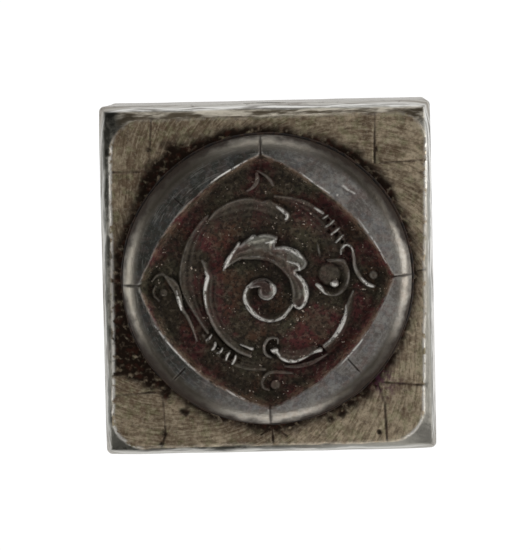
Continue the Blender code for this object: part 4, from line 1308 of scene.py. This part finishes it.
def annulus_steel(s, scratches, grain, rim, radius, diagonal):
    """The polished ring and its shoulder, with painted light: painted shade to the left and on the
    diagonals, a painted highlight on the shoulder, and dark brown at the rim.
    """
    blotch = s.noise(4.0, 5.0, seed=1)
    # left paints shade: the steel is darker towards the left, with fewer pale mottles and flecks.
    left = s.step(s.plus(s.x, s.times(s.y, -0.35)), -9.0, 7.0, 1.0, 0.0)
    steel = s.mix(s.step(blotch, 0.42, 0.58), srgb(176, 172, 166), srgb(142, 136, 130))
    steel = s.mix(s.times(left, 0.9), steel, srgb(50, 53, 47))
    steel = s.tint(steel, scratches, 0.53, 0.63, 0.25, (210, 206, 198))
    share = s.plus(0.34, s.times(left, -0.22))
    steel = s.patches(steel, 1.2, 4.0, 0.48, 0.6, share, (124, 128, 136), seed=33)
    steel = s.patches(steel, 1.0, 4.0, 0.5, 0.6, share, (164, 138, 130), seed=35)
    steel = s.tint(steel, grain, 0.5, 0.58, 0.3, (88, 74, 68))
    steel = s.tint(steel, grain, 0.47, 0.4, s.plus(0.2, s.times(left, -0.12)), (214, 212, 204))
    # painted highlight: a lighter band where the shoulder starts to turn down; painted shade on its
    # diagonals
    shoulder = s.step(radius, 14.7, 15.6)
    steel = s.mix(s.times(shoulder, 0.6), steel, srgb(160, 153, 140))
    shade = s.times(shoulder, s.step(diagonal, 0.45, 1.02, 0.0, 0.85))
    steel = s.mix(shade, steel, srgb(66, 59, 49))
    return s.mix(s.math("POWER", rim, 1.4), steel, srgb(46, 36, 28))


def recess_soil(s, grain, clean):
    """Brown, maroon and green dirt of the stippled ground, paler in a rind round the carving."""
    soil = s.patches(srgb(64, 55, 42), 5.0, 5.0, 0.44, 0.57, 1.0, (92, 47, 47), seed=5)
    soil = s.patches(soil, 4.0, 5.0, 0.5, 0.6, 0.6, (76, 74, 56), seed=37)
    soil = s.patches(soil, 3.0, 5.0, 0.54, 0.64, 0.4, (108, 70, 52), seed=7)
    soil = s.patches(soil, 0.7, 4.0, 0.5, 0.6, 0.35, (122, 110, 92), seed=19)
    soil = s.tint(soil, grain, 0.5, 0.58, 0.55, (28, 21, 17))
    rind = s.times(s.step(clean, 0.1, 0.0), s.less(s.mask("wall")))
    return s.patches(soil, 1.6, 4.0, 0.44, 0.56, rind, (128, 106, 88), seed=39)


def relief_steel(s, clean, soil):
    """Carved work: soiled where it is low, grey where handling keeps it clean, with painted shading that
    is lighter up its slopes and darker towards its foot and in its creases.
    """
    high = s.patches(srgb(136, 134, 123), 1.8, 5.0, 0.42, 0.56, 1.0, (92, 74, 68), seed=25)
    # painted shade on the lower slopes of the carving
    high = s.mix(s.step(s.mask("rise"), 0.9, 0.4), high, srgb(64, 56, 48))
    low = s.mix(s.mask("rise"), srgb(44, 38, 31), srgb(106, 98, 86))
    return s.mix(s.step(clean, 0.15, 0.95), s.mix(0.4, low, soil), high)


def wear_and_glint(s, edge, carved):
    """Where bare steel is rubbed bright and where edges catch the light, painted near white as wear and
    painted highlight: patchily along the edges, and along the rubbed crests.
    """
    worn = s.times(edge, s.step(s.noise(1.1, 4.0, seed=13), 0.34, 0.5))
    worn = s.times(worn, s.most(carved, s.step(s.noise(2.4, 3.0, seed=14), 0.46, 0.56)), 0.32)
    return s.most(worn, s.times(s.mask("rub"), s.step(s.noise(0.5, 3.0, seed=41), 0.36, 0.5)))


def pale_dust(s, carved):
    """Specks of dust in the recess, in clusters."""
    patchy = s.step(s.noise(1.9, 3.0, seed=15), 0.52, 0.62)
    dots = s.times(s.step(s.cells(0.62), 0.18, 0.08), patchy)
    crumbs = s.step(s.noise(0.36, 2.0, seed=31), 0.66, 0.72)
    crumbs = s.times(crumbs, s.plus(0.15, s.times(patchy, 0.85)))
    return s.times(s.most(s.times(dots, 0.8), crumbs), carved)


def die_steel():
    """Grey annulus, brown stippled ground, carved work rubbed bright on its crests, with painted
    highlights on its edges and painted shade in its hollows.
    """
    s = Surface("engraved_die_steel")
    names = ("ground", "clean", "edge", "mark", "recess", "cavity")
    ground, clean, edge, mark, carved, cavity = (s.mask(name) for name in names)
    scratches = s.noise(1.0, 4.0, s.turned(5.0, 3.5), 0.65)
    grain = s.noise(0.4, 3.0, seed=23, roughness=0.65)
    radius = s.vector("LENGTH", s.vector("MULTIPLY", s.place, (1, 1, 0)), output=1)
    diagonal = s.math("ABSOLUTE", s.times(s.x, s.y, 1 / 120))
    # The dark brown rim is partly dirt at the disc's foot and partly painted shade, reaching further in
    # on the diagonals.
    rim = s.plus(radius, s.times(s.noise(1.6, 4.0, seed=17), 1.5), s.times(diagonal, 0.6))
    rim = s.step(rim, 16.75, 17.8)
    soil = recess_soil(s, grain, clean)

    colour = annulus_steel(s, scratches, grain, rim, radius, diagonal)
    colour = s.mix(carved, colour, relief_steel(s, clean, soil))
    colour = s.mix(ground, colour, soil)
    colour = s.tint(colour, grain, 0.5, 0.58, s.times(carved, 0.35), (40, 32, 27))
    # Painted shade in the hollows of the recess.
    colour = s.mix(s.times(cavity, 0.75), colour, srgb(26, 21, 16))
    worn = wear_and_glint(s, edge, carved)
    # Rubbed steel and painted highlight: near white with little metal, so it is bright whatever light
    # falls on it.
    colour = s.mix(worn, colour, WORN_AND_GLINT)
    colour = s.mix(s.times(mark, 0.92), colour, GRIME)
    dust = pale_dust(s, carved)
    colour = s.mix(s.times(dust, 0.9), colour, srgb(226, 208, 190))

    bare = s.less(ground, s.times(carved, s.less(clean)))
    bare = s.times(bare, s.less(dust, mark, rim, s.times(cavity, 0.7)))
    roughness = s.plus(0.66, s.times(bare, -0.3))
    s.bumps((scratches, 0.012), (grain, 0.045))
    return s.finish(colour, s.times(bare, s.plus(0.9, s.times(worn, -0.7))), roughness,
                    Specular_IOR_Level=s.plus(0.2, s.times(bare, 0.3)))


def packing():
    """Thin gasket, black with oil and dirt."""
    s = Surface("oily_packing")
    colour = s.mix(s.step(s.noise(0.8, 4.0), 0.4, 0.65), srgb(30, 24, 20), srgb(64, 46, 34))
    s.bumps((s.noise(0.5, 3.0), 0.05))
    return s.finish(colour, 0.0, 0.8)


def blued_steel():
    """Dark oxide finish that shows grey where it has rubbed."""
    s = Surface("blued_steel")
    rub = s.step(s.noise(1.8, 4.0), 0.55, 0.72)
    colour = s.mix(rub, srgb(52, 50, 50), srgb(126, 122, 116))
    s.bumps((s.noise(0.5, 3.0), 0.02))
    return s.finish(colour, 0.9, s.plus(0.42, s.times(rub, -0.1)))


def bright_steel():
    """Turned steel with fine lathe marks, light rust and handling wear."""
    s = Surface("turned_steel")
    lathe = s.noise(1.0, 2.0, s.stretched(0.4, 0.4, 6.0))
    rust = s.step(s.noise(3.0, 6.0, seed=3, roughness=0.7), 0.54, 0.72)
    cloud = s.step(s.noise(6.0, 5.0, roughness=0.7), 0.35, 0.65)
    colour = s.mix(cloud, srgb(150, 146, 140), srgb(124, 119, 112))
    colour = s.mix(s.times(rust, 0.6), colour, srgb(98, 72, 52))
    s.bumps((lathe, 0.02), (rust, 0.02))
    metallic = s.math("SUBTRACT", 0.95, s.times(rust, 0.6))
    return s.finish(colour, metallic, s.plus(0.32, s.times(rust, 0.35)))


def leather():
    """Oiled sole leather: pores, creases and darker rubbed patches."""
    s = Surface("oiled_leather")
    colour = s.mix(s.step(s.noise(3.5, 4.0), 0.35, 0.65), srgb(98, 62, 38), srgb(58, 36, 24))
    pores = s.cells(0.5)
    s.bumps((pores, 0.06), (s.noise(1.4, 4.0), 0.12))
    return s.finish(colour, 0.0, 0.6)


def brass():
    """Old brass: warm yellow where it is handled, brown where it has tarnished."""
    s = Surface("aged_brass")
    tarnish = s.step(s.noise(5.0, 6.0, roughness=0.7), 0.38, 0.7)
    colour = s.mix(tarnish, srgb(184, 150, 90), srgb(134, 104, 62))
    fine = s.noise(1.0, 2.0, s.stretched(0.5, 0.5, 5.0))
    s.bumps((fine, 0.015), (s.noise(0.8, 3.0), 0.02))
    return s.finish(colour, 0.95, s.plus(0.28, s.times(tarnish, 0.2)))


def grip_wood():
    """Close-grained hardwood, stained by hands, with long dark pores."""
    s = Surface("turned_hardwood")
    drift = s.times(s.noise(14.0, 2.0), 5.0)
    flat = s.vector("MULTIPLY", s.vector("SUBTRACT", s.place, (9.0, 4.0, 0)), (1, 1, 0.03))
    rings = s.math("SINE", s.times(s.plus(s.vector("LENGTH", flat, output=1), drift), 2.4))
    fibres = s.noise(1.0, 3.0, s.stretched(2.6, 2.6, 0.12))
    pores = s.step(s.noise(1.0, 2.0, s.stretched(5.0, 5.0, 0.3), seed=5), 0.63, 0.72)
    light = s.step(s.plus(s.times(rings, 0.09), fibres), 0.3, 0.7)
    colour = s.mix(light, srgb(104, 62, 36), srgb(158, 104, 62))
    handled = s.step(s.noise(16.0, 3.0, seed=2), 0.4, 0.62)
    colour = s.mix(s.times(handled, 0.55), colour, srgb(72, 42, 26))
    colour = s.mix(s.times(pores, 0.7), colour, srgb(48, 28, 18))
    s.bumps((pores, -0.05), (fibres, 0.02), (s.noise(5.0, 2.0), 0.08))
    roughness = s.plus(0.36, s.times(handled, 0.1))
    return s.finish(colour, 0.0, roughness, Coat_Weight=0.25, Coat_Roughness=0.25)


# ---------------------------------------------------------------- light, floor and camera

SHEET_GLOW = 1.05               # just enough for pure white

# Azimuth from +X, elevation, half-width of the glow (all in degrees), strength.
SOFT_BOXES = [
    (2, 16, 36, 2.6),
    (185, 14, 32, 2.6),
    (278, 18, 32, 2.0),
    (90, 18, 26, 1.5),
]


def studio_light():
    """A dim room, brighter overhead, and four broad soft boxes; the camera itself sees only white."""
    world = bpy.data.worlds.new("studio")
    bpy.context.scene.world = world
    world.use_nodes = True
    w = Nodes(world.node_tree)
    way = w.add("TexCoord").outputs["Generated"]
    apart = w.add("SeparateXYZ")
    w.feed(apart.inputs[0], way)
    level = w.step(apart.outputs[2], 0.6, 0.98, 0.14, 0.36)
    for azimuth, elevation, spread, strength in SOFT_BOXES:
        a, e = math.radians(azimuth), math.radians(elevation)
        aim = (math.cos(a) * math.cos(e), math.sin(a) * math.cos(e), math.sin(e))
        nearness = w.vector("DOT_PRODUCT", way, aim, output=1)
        edge, core = math.cos(math.radians(spread)), math.cos(math.radians(spread * 0.5))
        level = w.plus(level, w.step(nearness, edge, core, 0.0, strength))
    seen = w.add("LightPath").outputs["Is Camera Ray"]
    level = w.plus(w.times(level, w.less(seen)), w.times(seen, SHEET_GLOW))
    background = w.add("Background")
    w.feed(background.inputs["Strength"], level)
    w.links.new(background.outputs[0], w.add("OutputWorld").inputs[0])


def backdrop():
    """A white sheet well below the tool that glows evenly and is seen from above only."""
    mesh = bpy.data.meshes.new("backdrop")
    half, drop = 2.0, -0.06
    corners = [(-half, -half, drop), (half, -half, drop), (half, half, drop), (-half, half, drop)]
    mesh.from_pydata(corners, [], [(0, 1, 2, 3)])
    sheet = bpy.data.objects.new("backdrop", mesh)
    bpy.context.scene.collection.objects.link(sheet)
    glow = bpy.data.materials.new("white_sheet")
    glow.use_nodes = True
    n = Nodes(glow.node_tree)
    light = n.add("Emission")
    n.feed(light.inputs["Strength"], SHEET_GLOW)
    one_sided = n.add("MixShader")
    n.links.new(n.add("NewGeometry").outputs["Backfacing"], one_sided.inputs[0])
    n.links.new(light.outputs[0], one_sided.inputs[1])
    n.links.new(n.add("BsdfTransparent").outputs[0], one_sided.inputs[2])
    n.links.new(one_sided.outputs[0], n.add("OutputMaterial").inputs[0])
    mesh.materials.append(glow)


ROLL = math.radians(1.2)        # the tool isn't quite square to the camera
TILT = math.radians(3.5)        # from behind
LEAN = math.radians(1.2)        # from the right
DISTANCE = 450
FIELD_WIDTH = 61.1              # what the picture's width covers at the die's face
AIM = (-0.15, 0.63)             # from the die's centre to the picture's centre: right, up


def camera():
    """Looks down on the working face, slightly from behind and from the right."""
    right = Vector((math.cos(ROLL), -math.sin(ROLL), 0))
    up = Vector((math.sin(ROLL), math.cos(ROLL), 0))
    target = Vector((0, 0, DIE_TOP)) + right * AIM[0] + up * AIM[1]
    back = (Vector((0, 0, 1)) + up * math.tan(TILT) + right * math.tan(LEAN)).normalized()
    data = bpy.data.cameras.new("camera")
    data.sensor_fit = "HORIZONTAL"
    data.sensor_width = 36
    data.lens = 36 * DISTANCE / FIELD_WIDTH
    data.clip_start = 0.01
    cam = bpy.data.objects.new("camera", data)
    upright = back.cross(right).normalized()
    turn = Matrix((upright.cross(back), upright, back)).transposed().to_4x4()
    cam.matrix_world = Matrix.Translation((target + back * DISTANCE) * MM) @ turn
    bpy.context.scene.collection.objects.link(cam)
    bpy.context.scene.camera = cam


# ---------------------------------------------------------------- putting it together

def build():
    """Makes each piece of the tool, from the head down to the striking cap."""
    block_steel, carved_steel = holder_steel(), die_steel()
    blued, bright, hide, metal = blued_steel(), bright_steel(), leather(), brass()
    holder_block(block_steel)
    die(carved_steel)
    packing_ring(packing())
    set_screws(blued)
    lock_washer(blued)
    shank(bright)
    buffer_washer("front_leather_washer", "front_buffer_washer", 4.7, hide, 211)
    sleeve("brass_ferrule", "front_ferrule", metal, 221, pin_radius=1.0)
    cross_pin("ferrule_rivet", "ferrule_pin", metal)
    handle_grip(grip_wood())
    sleeve("steel_hoop", "rear_hoop", bright, 225)
    buffer_washer("rear_leather_washer", "rear_buffer_washer", 4.7, hide, 213)
    striking_cap(bright)
    cross_pin("cap_cross_pin", "cap_pin", bright)


build()
studio_light()
backdrop()
camera()
bpy.context.scene.view_settings.view_transform = "Standard"
